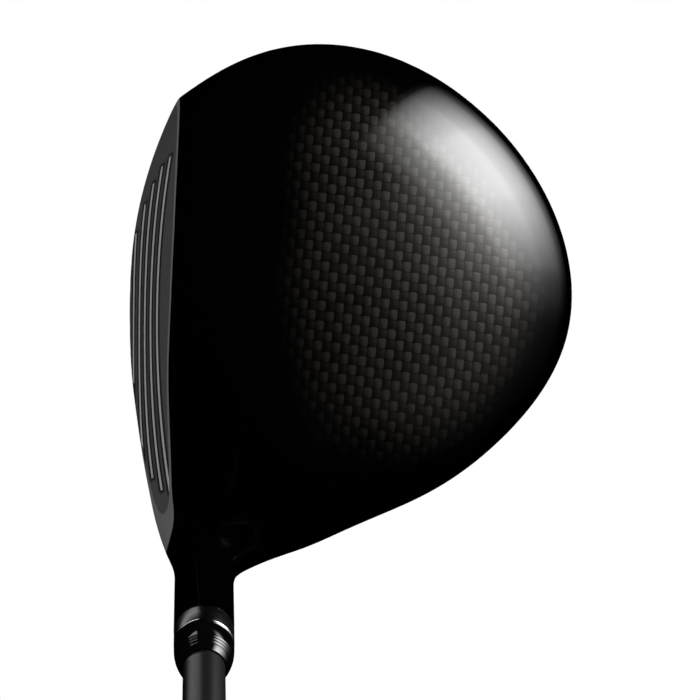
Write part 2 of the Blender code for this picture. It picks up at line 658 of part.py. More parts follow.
def build_adapter(satin, polished, black, glue, hosel_axis):
    ring_foot = COLLAR + 0.05
    ring_top = ring_foot + RING_HEIGHT
    turned(
        "adapter_ring",
        [
            (FLANGE_R - 0.12, ring_top), (FLANGE_R, ring_top - 0.12), (FLANGE_R, ring_foot + 0.3),
            (FLANGE_R - 0.3, ring_foot), (SLEEVE_R + 0.08, ring_foot), (SLEEVE_R + 0.08, ring_top),
        ],
        hosel_axis, satin,
    )  # fmt: skip
    flange_foot = ring_top + 0.05
    sleeve = turned(
        "adapter_sleeve",
        [
            (0, SHAFT_SEAT), (SLEEVE_BORE_R, SHAFT_SEAT), (SLEEVE_BORE_R, FLANGE_TOP),
            (FLANGE_R - 0.45, FLANGE_TOP), (FLANGE_R, FLANGE_TOP - 0.45), (FLANGE_R, flange_foot),
            (SLEEVE_R, flange_foot), (SLEEVE_R, SLEEVE_FOOT + SPLINE_HEIGHT + 1),
            (SLEEVE_FOOT_R, SLEEVE_FOOT + SPLINE_HEIGHT + 1), (SLEEVE_FOOT_R, SLEEVE_FOOT),
            (THREAD_HOLE_R, SLEEVE_FOOT), (THREAD_HOLE_R, THREAD_HOLE_TOP), (0, THREAD_HOLE_TOP),
        ],
        hosel_axis, polished,
    )  # fmt: skip
    # The splines are what twelve slots leave standing.
    half = SPLINE_SLOT / 2
    low, high = SLEEVE_FOOT - 1.0, SLEEVE_FOOT + SPLINE_HEIGHT
    points, faces = [], []
    for k in range(SPLINE_COUNT):
        turn = Matrix.Rotation(tau * (k + 0.5) / SPLINE_COUNT, 3, "Z")
        near, far, base = SLEEVE_FOOT_R - SPLINE_DEPTH, SLEEVE_FOOT_R + 1.0, len(points)
        for z in (low, high):
            for x, y in ((near, -half), (far, -half), (far, half), (near, half)):
                points.append(tuple(turn @ Vector((x, y, z))))
        for quad in ((3, 2, 1, 0), (4, 5, 6, 7), (0, 1, 5, 4), (1, 2, 6, 5), (2, 3, 7, 6), (3, 0, 4, 7)):
            faces.append(tuple(base + i for i in quad))
    slots = tool(solid("spline_slot_tool", (points, faces), smooth=False))
    slots.parent = hosel_axis
    combine(sleeve, slots, "DIFFERENCE")
    # The ferrule's nose is a quarter of an ellipse, cut where the shaft leaves it.
    foot, shoulder = FLANGE_TOP + 0.05, FLANGE_TOP + 1.6
    rise = np.linspace(0, (FERRULE_TOP - shoulder) / FERRULE_NOSE, 8)
    outline = [(FERRULE_R * (1 - t * t) ** 0.5, shoulder + FERRULE_NOSE * t) for t in rise]
    mouth_r = SHAFT_TIP_R + 0.1
    turned(
        "ferrule",
        [*reversed(outline), (FERRULE_R, foot + 0.15), (FERRULE_R - 0.15, foot), (mouth_r, foot), (mouth_r, FERRULE_TOP)],
        hosel_axis, black, steps=40,
    )  # fmt: skip
    turned(
        "shaft_bond",
        [
            (SLEEVE_BORE_R - 0.03, FLANGE_TOP - 0.6), (SLEEVE_BORE_R - 0.03, SHAFT_SEAT + 1.5),
            (SHAFT_TIP_R + 0.03, SHAFT_SEAT + 1.5), (SHAFT_TIP_R + 0.03, FLANGE_TOP - 0.6),
        ],
        hosel_axis, glue, steps=SHAFT_STEPS,
    )  # fmt: skip


def shaft_radius(station):
    share = max(0.0, station - SHAFT_PARALLEL) / (SHAFT_END - SHAFT_PARALLEL)
    return SHAFT_TIP_R + (SHAFT_BUTT_R - SHAFT_TIP_R) * share


def shaft_bore(station):
    share = (station - SHAFT_SEAT) / (SHAFT_END - SHAFT_SEAT)
    return shaft_radius(station) - SHAFT_WALL + (SHAFT_WALL - SHAFT_BUTT_WALL) * share


def build_shaft(carbon, cork, hosel_axis):
    tip = SHAFT_SEAT + 0.3
    stations = [SHAFT_END, 950.0, 700.0, 450.0, 300.0, SHAFT_PARALLEL, 120.0, tip]
    outside = [(shaft_radius(s), s) for s in stations]
    inside = [(shaft_bore(s), s) for s in reversed(stations)]
    turned("shaft", outside + inside, hosel_axis, carbon, steps=SHAFT_STEPS)
    plug_r = shaft_bore(tip) - 0.05
    turned("tip_plug", [(0, tip + 9.0), (plug_r, tip + 9.0), (plug_r, tip + 0.5), (0, tip + 0.5)], hosel_axis, cork, steps=SHAFT_STEPS)


def build_grip(rubber, hard_rubber, tape, hosel_axis):
    tape_low, tape_high = GRIP_MOUTH + 4.0, SHAFT_END - 1.0
    turned(
        "grip_tape",
        [
            (shaft_radius(tape_high) + TAPE - 0.06, tape_high), (shaft_radius(tape_low) + TAPE - 0.06, tape_low),
            (shaft_radius(tape_low) + 0.06, tape_low), (shaft_radius(tape_high) + 0.06, tape_high),
        ],
        hosel_axis, tape, steps=SHAFT_STEPS,
    )  # fmt: skip
    inside = [(shaft_radius(s) + TAPE, s) for s in (GRIP_MOUTH, GRIP_END)]
    turned("grip", [*GRIP_PROFILE, *inside], hosel_axis, rubber)
    foot = GRIP_END + SEAT_GAP
    turned(
        "grip_cap",
        [
            (VENT_R, CLUB_END), (13.0, CLUB_END), (14.6, CLUB_END - 0.7), (15.4, CLUB_END - 2.2),
            (15.2, CLUB_END - 4.0), (14.0, foot), (VENT_R, foot),
        ],
        hosel_axis, hard_rubber,
    )  # fmt: skip


def build_rear_weight(steel, rubber, weight_axis):
    seal_foot = -WEIGHT_CAP - 1.2
    turned(
        "rear_weight_seal",
        [
            (WEIGHT_R - 0.4, seal_foot + 0.6), (WEIGHT_R - 0.4, seal_foot),
            (WEIGHT_SHANK_R + 0.3, seal_foot), (WEIGHT_SHANK_R + 0.3, seal_foot + 0.6),
        ],
        weight_axis, rubber,
    )  # fmt: skip
    cap_top = -0.5
    weight = turned(
        "rear_weight",
        [
            (0, cap_top), (WEIGHT_R - 0.8, cap_top), (WEIGHT_R, cap_top - 0.8), (WEIGHT_R, -WEIGHT_CAP - 0.5),
            (WEIGHT_SHANK_R, -WEIGHT_CAP - 0.5), (WEIGHT_SHANK_R, 0.5 - WEIGHT_LENGTH),
            (WEIGHT_SHANK_R - 0.5, -WEIGHT_LENGTH), (0, -WEIGHT_LENGTH),
        ],
        weight_axis, steel,
    )  # fmt: skip
    socket = lobed_prism("weight_socket_tool", weight_axis, *KEY_SOCKET, cap_top - KEY_SOCKET_DEPTH, cap_top + 1.0)
    combine(weight, socket, "DIFFERENCE")


def main():
    for old in list(bpy.data.objects):
        bpy.data.objects.remove(old, do_unlink=True)

    paint = material("black_paint", (0.008, 0.008, 0.009), 0.0, 0.12, 1.0)
    face_finish = material("face_finish", (0.055, 0.055, 0.058), 0.6, 0.5)
    carbon = material("crown_carbon", (0.02, 0.018, 0.016), 0.0, 0.1, 1.0)
    glue = material("adhesive", (0.45, 0.42, 0.35), 0.0, 0.6)
    steel = material("screw_steel", (0.3, 0.3, 0.31), 1.0, 0.3)
    satin = material("satin_aluminium", (0.22, 0.22, 0.23), 1.0, 0.35)
    polished = material("polished_aluminium", (0.6, 0.6, 0.62), 1.0, 0.12)
    gloss_black = material("ferrule_plastic", (0.01, 0.01, 0.01), 0.0, 0.1)
    shaft_finish = material("shaft_finish", (0.035, 0.035, 0.037), 0.3, 0.35)
    cork = material("plug_cork", (0.5, 0.35, 0.2), 0.0, 0.9)
    tape = material("grip_tape", (0.7, 0.68, 0.6), 0.0, 0.8)
    grip_rubber = material("grip_rubber", (0.015, 0.015, 0.016), 0.0, 0.7)
    cap_rubber = material("cap_rubber", (0.02, 0.02, 0.02), 0.0, 0.5)
    seal_rubber = material("seal_rubber", (0.02, 0.02, 0.02), 0.0, 0.6)

    hosel_axis = axis_empty("hosel_axis", HEEL, AXIS)
    weight_axis = axis_empty("weight_axis", WEIGHT_AT, WEIGHT_OUT)
    build_head(paint, face_finish, carbon, glue, hosel_axis, weight_axis)
    build_inside(glue)
    build_hosel_screw(steel, seal_rubber, hosel_axis)
    build_adapter(satin, polished, gloss_black, glue, hosel_axis)
    build_shaft(shaft_finish, cork, hosel_axis)
    build_grip(grip_rubber, cap_rubber, tape, hosel_axis)
    build_rear_weight(steel, seal_rubber, weight_axis)


main()
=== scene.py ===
"""Looks for the golf driver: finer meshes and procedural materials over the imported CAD, with light and camera.

Shapes are worked out in millimetres in the CAD's frame, and stored in metres.
"""

import json
from math import atan, cos, radians, sin, sqrt, tau

import bmesh
import bpy
import numpy as np
from mathutils import Matrix, Vector


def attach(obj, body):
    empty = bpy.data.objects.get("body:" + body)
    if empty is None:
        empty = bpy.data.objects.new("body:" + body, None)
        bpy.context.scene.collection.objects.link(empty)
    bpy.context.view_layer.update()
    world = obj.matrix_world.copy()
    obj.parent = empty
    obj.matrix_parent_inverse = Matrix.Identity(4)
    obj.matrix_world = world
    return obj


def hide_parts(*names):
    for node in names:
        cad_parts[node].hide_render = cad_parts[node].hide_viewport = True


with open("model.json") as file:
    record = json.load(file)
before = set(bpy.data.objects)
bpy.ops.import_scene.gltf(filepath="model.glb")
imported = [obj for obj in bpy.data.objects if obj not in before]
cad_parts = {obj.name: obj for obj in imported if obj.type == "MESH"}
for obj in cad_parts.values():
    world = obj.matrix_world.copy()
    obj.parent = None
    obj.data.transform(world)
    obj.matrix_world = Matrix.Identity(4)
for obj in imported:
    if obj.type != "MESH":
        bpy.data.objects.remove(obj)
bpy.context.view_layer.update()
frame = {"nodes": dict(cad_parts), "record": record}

MM = 0.001
JOINTS = {j["name"]: j for j in frame["record"]["behaviour"]["joints"]}
scene = bpy.context.scene

# --- Dimensions in millimetres ---

COLLAR = 81.7
AXIS = np.array(JOINTS["sleeve_index"]["axis"])
HEEL = np.array(JOINTS["sleeve_index"]["pos_m"]) / MM - COLLAR * AXIS
WEIGHT_OUT = np.array(JOINTS["weight_turn"]["axis"])
WEIGHT_AT = np.array(JOINTS["weight_turn"]["pos_m"]) / MM

OUTLINE_CENTRE = (0.0, -6.0)
OUTLINE = (
    (-59.8, -7.9), (-59.6, 18.7), (-45.9, 43.0), (-21.2, 60.7), (8.1, 63.5),
    (31.1, 49.6), (45.9, 30.7), (55.8, 8.9), (62.7, -13.8), (52.2, -35.6),
    (29.4, -50.8), (0.0, -84.1), (-30.3, -56.5), (-45.3, -33.0),
)
EQUATOR_Z, EQUATOR_FALL, EQUATOR_BLEND = 29.2, 0.10, 6.0
CROWN_RISE, CROWN_FULLNESS, CROWN_ROOT = 28.5, (2.3, 2.0), 2.3
SOLE_FULLNESS, SOLE_ROOT = (3.0, 2.2), 2.4
SOLE_CAMBER_X, SOLE_CAMBER_BACK, SOLE_CAMBER_FRONT = 211.0, 280.0, 443.0
SOLE_END_RELIEF, SOLE_RELIEF_X, SOLE_RELIEF_REACH = 3.0, -4.0, 50.0
LEAST_SOLE_DROP, KEEL_FLAT, BODY_FRONT, LEAST_STEEPNESS = 5.0, 0.15, -52.0, 0.004
FACE_MIDDLE, FACE_BULGE_R, FACE_ROLL_R = (8.2, -39.8, 22.0), 250.0, 900.0
FACE_END_REACH, FACE_FOOT, FACE_RISE = 33.0, -17.0, 45.0
FACE_THICKNESS, FACE_RIM = 3.0, 1.0
LOFT = radians(10.5)
FACE_BLEND = 7.0  # how softly the neck pushes the face forwards
PUSH_CLEAR = 1.0  # the neck pushes the face out to this far in front of itself
EDGE_ROUND = 0.6  # how softly the face meets the crown and sole
SCORE_HEIGHTS = (12.5, 21.4, 29.1, 36.8, 44.7)
SCORE_SPANS = ((-18.2, 29.7), (-23.9, 38.1), (-27.6, 43.3), (-30.3, 46.8), (-31.2, 48.0))
SCORE_WIDTH, SCORE_DEPTH = 2.3, 0.4  # the CAD's lines are slightly narrower, and its top two stop short of these
HOSEL_R, HOSEL_BORE_R, HOSEL_TUBE_R = 6.75, 5.5, 7.6
NECK_BLEND, NECK_ROOT, NECK_PAST = 14.9, 20.0, 6.0  # the neck starts inside the body and runs on past the collar
PORT_R, PORT_FLOOR, SEAT_WEB, SCREW_HOLE_R = 6.0, 38.0, 3.0, 3.0
FLANGE_TOP, FERRULE_TOP = 88.5, 98.0
WALL, RIM_WALL, FACE_WALL_BLEND = 1.3, 2.6, 2.0
CROWN_THICKNESS, LEDGE_DEPTH, LEDGE_WIDTH = 0.9, 1.30, 6.0
CROWN_GAP, PLATE_GAP, PLATE_EDGE_GAP = 0.004, 0.25, 0.02
PANEL_STEPS, PANEL_LOW, OPENING_LOW, PANEL_HIGH = 160, 20.0, 24.0, 80.0
PANEL = (
    (-50.5, -14.0), (-54.0, 2.0), (-51.0, 22.0), (-38.5, 41.0), (-16.0, 54.0),
    (7.0, 56.5), (26.5, 46.5), (39.0, 30.0), (44.0, 12.0), (37.0, -7.0),
    (20.0, -19.0), (-4.0, -22.0), (-34.0, -22.5),
)
WEIGHT_R, WEIGHT_SHANK_R, WEIGHT_CAP, WEIGHT_LENGTH, WEIGHT_BOSS_R = 6.8, 4.0, 4.0, 10.5, 9.2
WEIGHT_PORT_R, WEIGHT_HOLE_R, WEIGHT_SEAT, WEIGHT_HOLE_END = 7.1, 4.08, -5.3, -11.5

FINE_LOW, FINE_HIGH, FINE_CELL = (-66.0, -58.0, -4.0), (92.0, 70.0, 80.0), 1.7
HEAD_LOW, HEAD_HIGH = (-72.0, -60.0, -8.0), (90.0, 74.0, 84.0)
COARSE_CELL, SECTION_CELL, CAVITY_CELL = 6.1, 2.6, 5.0
FACE_CELL, FACE_IN_FRONT = 7.0, -110.0
FACE_TOOL_LOW, FACE_TOOL_HIGH = (-80.0, -14.0), (70.0, 70.0)  # x and z
RIM_WALL_START, RIM_WALL_REACH, FACE_WALL_REACH = 2.0, 8.0, 16.0

# --- The head as distances from its surfaces ---


def polar_spline(points, centre):
    """Radius as a smooth function of the angle about centre, through the points."""
    offsets = np.array(points, float) - centre
    angle = np.arctan2(offsets[:, 1], offsets[:, 0])
    order = np.argsort(angle)
    angle, radius = angle[order], np.hypot(*offsets[order].T)
    count = len(angle)
    knots, values = np.append(angle, angle[0] + tau), np.append(radius, radius[0])
    step = np.diff(knots)
    slopes = np.diff(values) / step
    matrix, right = np.zeros((count, count)), np.zeros(count)
    for i in range(count):
        matrix[i, (i - 1) % count] += step[i - 1]
        matrix[i, i] += 2 * (step[i - 1] + step[i])
        matrix[i, (i + 1) % count] += step[i]
        right[i] = 6 * (slopes[i] - slopes[i - 1])
    bend = np.linalg.solve(matrix, right)
    bend = np.append(bend, bend[0])

    def radius_at(theta):
        theta = (theta - knots[0]) % tau + knots[0]
        k = np.clip(np.searchsorted(knots, theta, side="right") - 1, 0, count - 1)
        a, b, h = theta - knots[k], knots[k + 1] - theta, step[k]
        curved = (bend[k] * b**3 + bend[k + 1] * a**3) / (6 * h)
        return curved + (values[k] / h - bend[k] * h / 6) * b + (values[k + 1] / h - bend[k + 1] * h / 6) * a

    return radius_at


def closed_curve(points, count, grow):
    centre = np.mean(points, axis=0)
    radius_at = polar_spline(points, centre)
    theta = np.linspace(0, tau, count, endpoint=False)
    ring = centre + radius_at(theta)[:, None] * np.stack([np.cos(theta), np.sin(theta)], 1)
    along = np.roll(ring, -1, 0) - np.roll(ring, 1, 0)
    out = np.stack([along[:, 1], -along[:, 0]], 1)
    return ring + grow * out / np.linalg.norm(out, axis=1)[:, None]


OUTLINE_RADIUS = polar_spline(OUTLINE, OUTLINE_CENTRE)
FACE_OUT = np.array([0.0, -cos(LOFT), sin(LOFT)])
FACE_UP = np.array([0.0, sin(LOFT), cos(LOFT)])


def smooth_min(a, b, width):
    h = np.maximum(width - np.abs(a - b), 0) / width
    return np.minimum(a, b) - h * h * width / 4


def smooth_max(a, b, width):
    return -smooth_min(-a, -b, width)


def slope(field, p):
    reach = 0.05
    return np.stack([(field(p + reach * e) - field(p - reach * e)) / (2 * reach) for e in np.eye(3)], axis=-1)


def body_level(p):
    """Below 0 inside the body, which is the head without its neck and before the face is cut."""
    x, y, z = p[..., 0], p[..., 1], p[..., 2]
    dx, dy = x - OUTLINE_CENTRE[0], y - OUTLINE_CENTRE[1]
    out = np.hypot(dx, dy) / OUTLINE_RADIUS(np.arctan2(dy, dx))
    equator = EQUATOR_Z - EQUATOR_FALL * y
    keel = (
        x**2 / SOLE_CAMBER_X
        - SOLE_END_RELIEF * (np.clip(x - SOLE_RELIEF_X, -70, 70) / SOLE_RELIEF_REACH) ** 4
        + np.where(y > 0, y**2 / SOLE_CAMBER_BACK, y**2 / SOLE_CAMBER_FRONT)
        - KEEL_FLAT
    )
    above = np.maximum(z - equator, 0) / CROWN_RISE
    below = np.maximum(equator - z, 0) / np.maximum(equator - keel, LEAST_SOLE_DROP)
    crown = (out ** CROWN_FULLNESS[0] + above ** CROWN_FULLNESS[1]) ** (1 / CROWN_ROOT)
    sole = (out ** SOLE_FULLNESS[0] + below ** SOLE_FULLNESS[1]) ** (1 / SOLE_ROOT)
    mix = np.clip((z - equator) / (2 * EQUATOR_BLEND) + 0.5, 0, 1)
    mix = mix * mix * (3 - 2 * mix)
    return sole * (1 - mix) + crown * mix - 1


def body(p):
    """About the distance to the body's surface."""
    steep = np.linalg.norm(slope(body_level, p), axis=-1)
    return np.maximum(body_level(p) / np.maximum(steep, LEAST_STEEPNESS), BODY_FRONT - p[..., 1])


def along_hosel(p):
    """Distance from the hosel's axis, and the station along it."""
    v = p - HEEL
    station = v @ AXIS
    return np.linalg.norm(v - station[..., None] * AXIS, axis=-1), station


def outer(p):
    """The head with its neck, which runs on past the collar, where it is cut."""
    distance, station = along_hosel(p)
    neck = np.maximum(distance - HOSEL_R, np.maximum(station - COLLAR - NECK_PAST, NECK_ROOT - station))
    return smooth_min(body(p), neck, NECK_BLEND)


def face(p):
    """The bulged and rolled face. Its foot is flatter in the middle and turns back faster at the ends."""
    v = p - np.array(FACE_MIDDLE)
    up = v @ FACE_UP
    top = (up - FACE_FOOT) / FACE_RISE
    foot_bulge = (1 - top) * (v[..., 0] / FACE_END_REACH) ** 4
    return v @ FACE_OUT + top * v[..., 0] ** 2 / (2 * FACE_BULGE_R) + foot_bulge + up ** 2 / (2 * FACE_ROLL_R)


def front(p):
    """The face, pushed forwards by the neck."""
    distance, _ = along_hosel(p)
    return smooth_min(face(p), distance - HOSEL_R - PUSH_CLEAR, FACE_BLEND)


def head_shape(p):
    return smooth_max(outer(p), front(p), EDGE_ROUND)


def cavity(p):
    """The hollow inside the body, with a thicker wall near the crown's rim and the face."""
    b, f = body(p), face(p)
    equator = EQUATOR_Z - EQUATOR_FALL * p[..., 1]
    near_rim = np.maximum(p[..., 2] - equator - RIM_WALL_START, f + FACE_WALL_REACH) / RIM_WALL_REACH
    thicker = (RIM_WALL - WALL) * np.clip(near_rim, 0, 1)
    return smooth_max(b + WALL + thicker, f + FACE_THICKNESS - FACE_RIM, FACE_WALL_BLEND)


# --- Meshes ---


def surface_of(field, low, high, cell):
    """Points and four-sided faces of field = 0, one point in each grid cell that it crosses."""
    lines = [np.arange(a, b + cell, cell) for a, b in zip(low, high)]
    grid = np.stack(np.meshgrid(*lines, indexing="ij"), -1)
    value = field(grid)
    cells = tuple(n - 1 for n in value.shape)
    total, hits, quads = np.zeros((*cells, 3)), np.zeros(cells), []
    for axis in range(3):
        near, far = [slice(None)] * 3, [slice(None)] * 3
        near[axis], far[axis] = slice(0, -1), slice(1, None)
        v0, v1 = value[tuple(near)], value[tuple(far)]
        crossed = np.nonzero((v0 < 0) != (v1 < 0))
        share = v0[crossed] / (v0[crossed] - v1[crossed])
        g0, g1 = grid[tuple(near)][crossed], grid[tuple(far)][crossed]
        points = g0 + share[:, None] * (g1 - g0)
        u, v = (axis + 1) % 3, (axis + 2) % 3
        corners = []
        for du, dv in ((0, 0), (1, 0), (1, 1), (0, 1)):
            corner = np.stack(crossed, 1)
            corner[:, u] -= du
            corner[:, v] -= dv
            np.add.at(total, tuple(corner.T), points)
            np.add.at(hits, tuple(corner.T), 1)
            corners.append(corner)
        quad = np.stack(corners, 1)
        flip = v0[crossed] > 0
        quad[flip] = quad[flip][:, ::-1]
        quads.append(quad)
    used = hits > 0
    numbers = np.zeros(cells, int)
    numbers[used] = np.arange(used.sum())
    points = total[used] / hits[used][:, None]
    faces = numbers[tuple(np.moveaxis(np.concatenate(quads), -1, 0))]
    return snapped(points, field), faces


def snapped(points, field, rounds=4):
    for _ in range(rounds):
        gradient = slope(field, points)
        length = np.maximum((gradient**2).sum(-1), 1e-6)
        points = points - np.clip(field(points) / length, -2, 2)[:, None] * gradient
    return points


def inset(shape, field, depth):
    points, faces = shape
    gradient = slope(field, points)
    return points - depth * gradient / np.linalg.norm(gradient, axis=1)[:, None], faces


def front_y(x, z, sink):
    """Y of the front surface at x and z, or this far behind it."""
    rounds, share = 60, 0.9
    y = np.full(x.shape, FACE_IN_FRONT)
    for _ in range(rounds):
        y = y + share * (front(np.stack([x, y, z], -1)) + sink)
    return y


def front_slab(far):
    """A solid from well in front back to far behind the face surface."""
    xs, zs = (np.arange(low, high, FACE_CELL) for low, high in zip(FACE_TOOL_LOW, FACE_TOOL_HIGH))
    x, z = np.meshgrid(xs, zs, indexing="ij")
    layers = [np.full(x.shape, FACE_IN_FRONT), front_y(x, z, far)]
    points = np.concatenate([np.stack([x, y, z], -1).reshape(-1, 3) for y in layers])
    rows, columns = x.shape
    number = np.arange(rows * columns).reshape(rows, columns)
    a, b, c, d = number[:-1, :-1], number[1:, :-1], number[1:, 1:], number[:-1, 1:]
    sheet = np.stack([a, b, c, d], -1).reshape(-1, 4)
    rim = np.concatenate([number[:, 0], number[-1, 1:], number[-2::-1, -1], number[0, -2:0:-1]])
    wall = np.stack([np.roll(rim, -1), rim, rim + number.size, np.roll(rim, -1) + number.size], -1)
    return points, np.concatenate([sheet, sheet[:, ::-1] + number.size, wall])


def prism(ring, low, high):
    count = len(ring)
    points = np.concatenate([np.column_stack([ring, np.full(count, z)]) for z in (low, high)])
    walls = [(i, (i + 1) % count, (i + 1) % count + count, i + count) for i in range(count)]
    return points, [tuple(reversed(range(count))), tuple(range(count, 2 * count)), *walls]


def across(direction):
    """Two directions at right angles to this one."""
    z = Vector(direction).normalized()
    x = Vector((0, 1, 0)).cross(z).normalized()
    return np.array(x), np.array(z.cross(x))


def lathe(profile, at, direction, steps=96, shape=None):
    """Points and faces of a profile of (radius, height) turned about an axis.

    shape(angle, height, radius) may move each radius.
    """
    x, y = across(direction)
    radius, height = np.array(profile, float).T
    angle = np.linspace(0, tau, steps, endpoint=False)
    r = np.broadcast_to(radius[:, None], (len(radius), steps)).copy()
    if shape is not None:
        r = shape(angle[None, :], height[:, None], r)
    points = (
        np.array(at)
        + r[..., None] * (np.cos(angle)[None, :, None] * x + np.sin(angle)[None, :, None] * y)
        + height[:, None, None] * np.array(direction)
    )
    number = np.arange(r.size).reshape(r.shape)
    right = np.roll(number, -1, 1)
    if radius[0] > 0 and radius[-1] > 0:
        a, b, c, d = number, np.roll(number, -1, 0), np.roll(right, -1, 0), right
        return points.reshape(-1, 3), [tuple(f) for f in np.stack([a, b, c, d], -1).reshape(-1, 4)]
    rings = slice(int(radius[0] == 0), len(radius) - int(radius[-1] == 0))
    number, right, points = number[rings], right[rings], points.reshape(-1, 3)
    sides = np.stack([number[:-1], number[1:], right[1:], right[:-1]], -1).reshape(-1, 4)
    faces = [tuple(f) for f in sides] + [tuple(number[0]), tuple(reversed(number[-1]))]
    return points, faces


def rounded(profile, radius, closed):
    """The profile with each sharp corner replaced by a small curve."""
    straight, steps = -0.985, 4
    p = np.array(profile, float)
    out = []
    for i, here in enumerate(p):
        before, after = p[i - 1], p[(i + 1) % len(p)]
        if not closed and i in (0, len(p) - 1):
            out.append(here)
            continue
        u, v = before - here, after - here
        a, b = np.linalg.norm(u), np.linalg.norm(v)
        if u @ v < straight * a * b:
            out.append(here)
            continue
        reach = min(radius, 0.45 * a, 0.45 * b)
        start, end = here + u / a * reach, here + v / b * reach
        for t in np.linspace(0, 1, steps):
            out.append((1 - t) ** 2 * start + 2 * t * (1 - t) * here + t * t * end)
    return out


def solid(name, shape, material=None, sharp=30.0):
    """An object made of (points, faces), with edges above this angle left sharp."""
    points, faces = shape
    mesh = bpy.data.meshes.new(name)
    mesh.from_pydata([tuple(p) for p in np.asarray(points) * MM], [], [tuple(map(int, f)) for f in faces])
    mesh.update()
    b = bmesh.new()
    b.from_mesh(mesh)
    loose = [v for v in b.verts if not v.link_faces]
    bmesh.ops.delete(b, geom=loose, context="VERTS")
    bmesh.ops.recalc_face_normals(b, faces=b.faces)
    b.to_mesh(mesh)
    b.free()
    mesh.shade_smooth()
    if sharp:
        mesh.set_sharp_from_angle(angle=radians(sharp))
    obj = bpy.data.objects.new(name, mesh)
    scene.collection.objects.link(obj)
    if material:
        mesh.materials.append(material)
    return obj


def combined(obj, *steps):
    """The object after (operation, tool) Booleans. The tools are removed."""
    for operation, other in steps:
        step = obj.modifiers.new(operation, "BOOLEAN")
        step.operation, step.solver, step.object = operation, "EXACT", other
        step.material_mode = "TRANSFER"
    graph = bpy.context.evaluated_depsgraph_get()
    made = bpy.data.meshes.new_from_object(obj.evaluated_get(graph))
    old, made.name = obj.data, obj.data.name
    obj.modifiers.clear()
    obj.data = made
    bpy.data.meshes.remove(old)
    for other in {o for _, o in steps}:
        bpy.data.objects.remove(other, do_unlink=True)
    return obj


def less(obj, *tools):
    return combined(obj, *(("DIFFERENCE", other) for other in tools))


def piece(obj, body_name, node):
    """Ties the object to its body and hides the CAD node it stands for."""
    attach(obj, body_name)
    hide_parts(node)
    return obj


def numbers_of(items, key, width=1, kind=np.float32):
    """One number, or a row of them, from each item of a mesh."""
    out = np.empty(len(items) * width, kind)
    items.foreach_get(key, out)
    return out.reshape(-1, width).astype(float) if width > 1 else out


def field_normals(obj, field):
    """Gives each corner on field = 0 the field's own normal, so a cut leaves no mark in the reflections."""
    near, alike = 0.06, 0.2
    mesh = obj.data
    mesh.shade_smooth()
    mesh.set_sharp_from_angle(angle=radians(30))
    points = numbers_of(mesh.vertices, "co", 3) / MM
    gradient = slope(field, points)
    gradient /= np.maximum(np.linalg.norm(gradient, axis=1), 1e-9)[:, None]
    on = np.abs(field(points)) < near
    corners = numbers_of(mesh.corner_normals, "vector", 3)
    vertex = numbers_of(mesh.loops, "vertex_index", kind=np.int32)
    sizes = numbers_of(mesh.polygons, "loop_total", kind=np.int32)
    flat = np.repeat(numbers_of(mesh.polygons, "normal", 3), sizes, axis=0)
    use = on[vertex] & ((flat * gradient[vertex]).sum(1) > alike)
    corners[use] = gradient[vertex][use]
    corners /= np.maximum(np.linalg.norm(corners, axis=1), 1e-9)[:, None]
    mesh.normals_split_custom_set(corners.tolist())


def paint_by(obj, name, value):
    """A number at each point, which the material reads."""
    numbers = value(numbers_of(obj.data.vertices, "co", 3) / MM).astype(np.float32)
    obj.data.attributes.new(name, "FLOAT", "POINT").data.foreach_set("value", numbers)


# --- Node materials ---


class Nodes:
    def __init__(self, tree):
        self.tree = tree

    def add(self, kind, inputs=None, **settings):
        node = self.tree.nodes.new(kind)
        for key, value in settings.items():
            setattr(node, key, value)
        for key, value in (inputs or {}).items():
            if isinstance(value, bpy.types.NodeSocket):
                self.tree.links.new(value, node.inputs[key])
            else:
                node.inputs[key].default_value = value
        return node

    def math(self, operation, *values):
        return self.add("ShaderNodeMath", dict(enumerate(values)), operation=operation).outputs[0]

    def mix(self, share, a, b):
        return self.add("ShaderNodeMix", {0: share, 6: a, 7: b}, data_type="RGBA").outputs[2]

    def between(self, share, a, b):
        return self.add("ShaderNodeMix", {0: share, 2: a, 3: b}, data_type="FLOAT").outputs[0]

    def span(self, value, low, high, to_low=0.0, to_high=1.0, kind="SMOOTHSTEP"):
        ends = {0: value, 1: low, 2: high, 3: to_low, 4: to_high}
        return self.add("ShaderNodeMapRange", ends, interpolation_type=kind).outputs[0]

    def noise(self, where, scale, detail=2.0, rough=0.5):
        inputs = {"Vector": where, "Scale": scale, "Detail": detail, "Roughness": rough}
        return self.add("ShaderNodeTexNoise", inputs).outputs[0]

    def bump(self, height, distance, strength=1.0):
        """The normal of a surface raised by up to this distance, in millimetres."""
        inputs = {"Height": height, "Distance": distance * MM, "Strength": strength}
        return self.add("ShaderNodeBump", inputs).outputs[0]


def colour(*rgb):
    return (*rgb, 1.0)


def new_material(name, **settings):
    """A material, its node writer, its shader and the object's coordinates in millimetres."""
    made = bpy.data.materials.new(name)
    made.use_nodes = True
    n = Nodes(made.node_tree)
    shader = made.node_tree.nodes["Principled BSDF"]
    for key, value in settings.items():
        shader.inputs[key.replace("_", " ")].default_value = value
    where = n.add("ShaderNodeTexCoord").outputs["Object"]
    where = n.add("ShaderNodeVectorMath", {0: where, 1: (1000, 1000, 1000)}, operation="MULTIPLY").outputs[0]
    return made, n, shader, where


def wire(n, value, shader, socket):
    n.tree.links.new(value, shader.inputs[socket])


def shaded(n, cloud, base, darker, lighter):
    """The base colour, darker and lighter in soft clouds."""
    low, high = (colour(*[c * k for c in base]) for k in (darker, lighter))
    return n.mix(n.span(cloud, 0.3, 0.7), low, high)


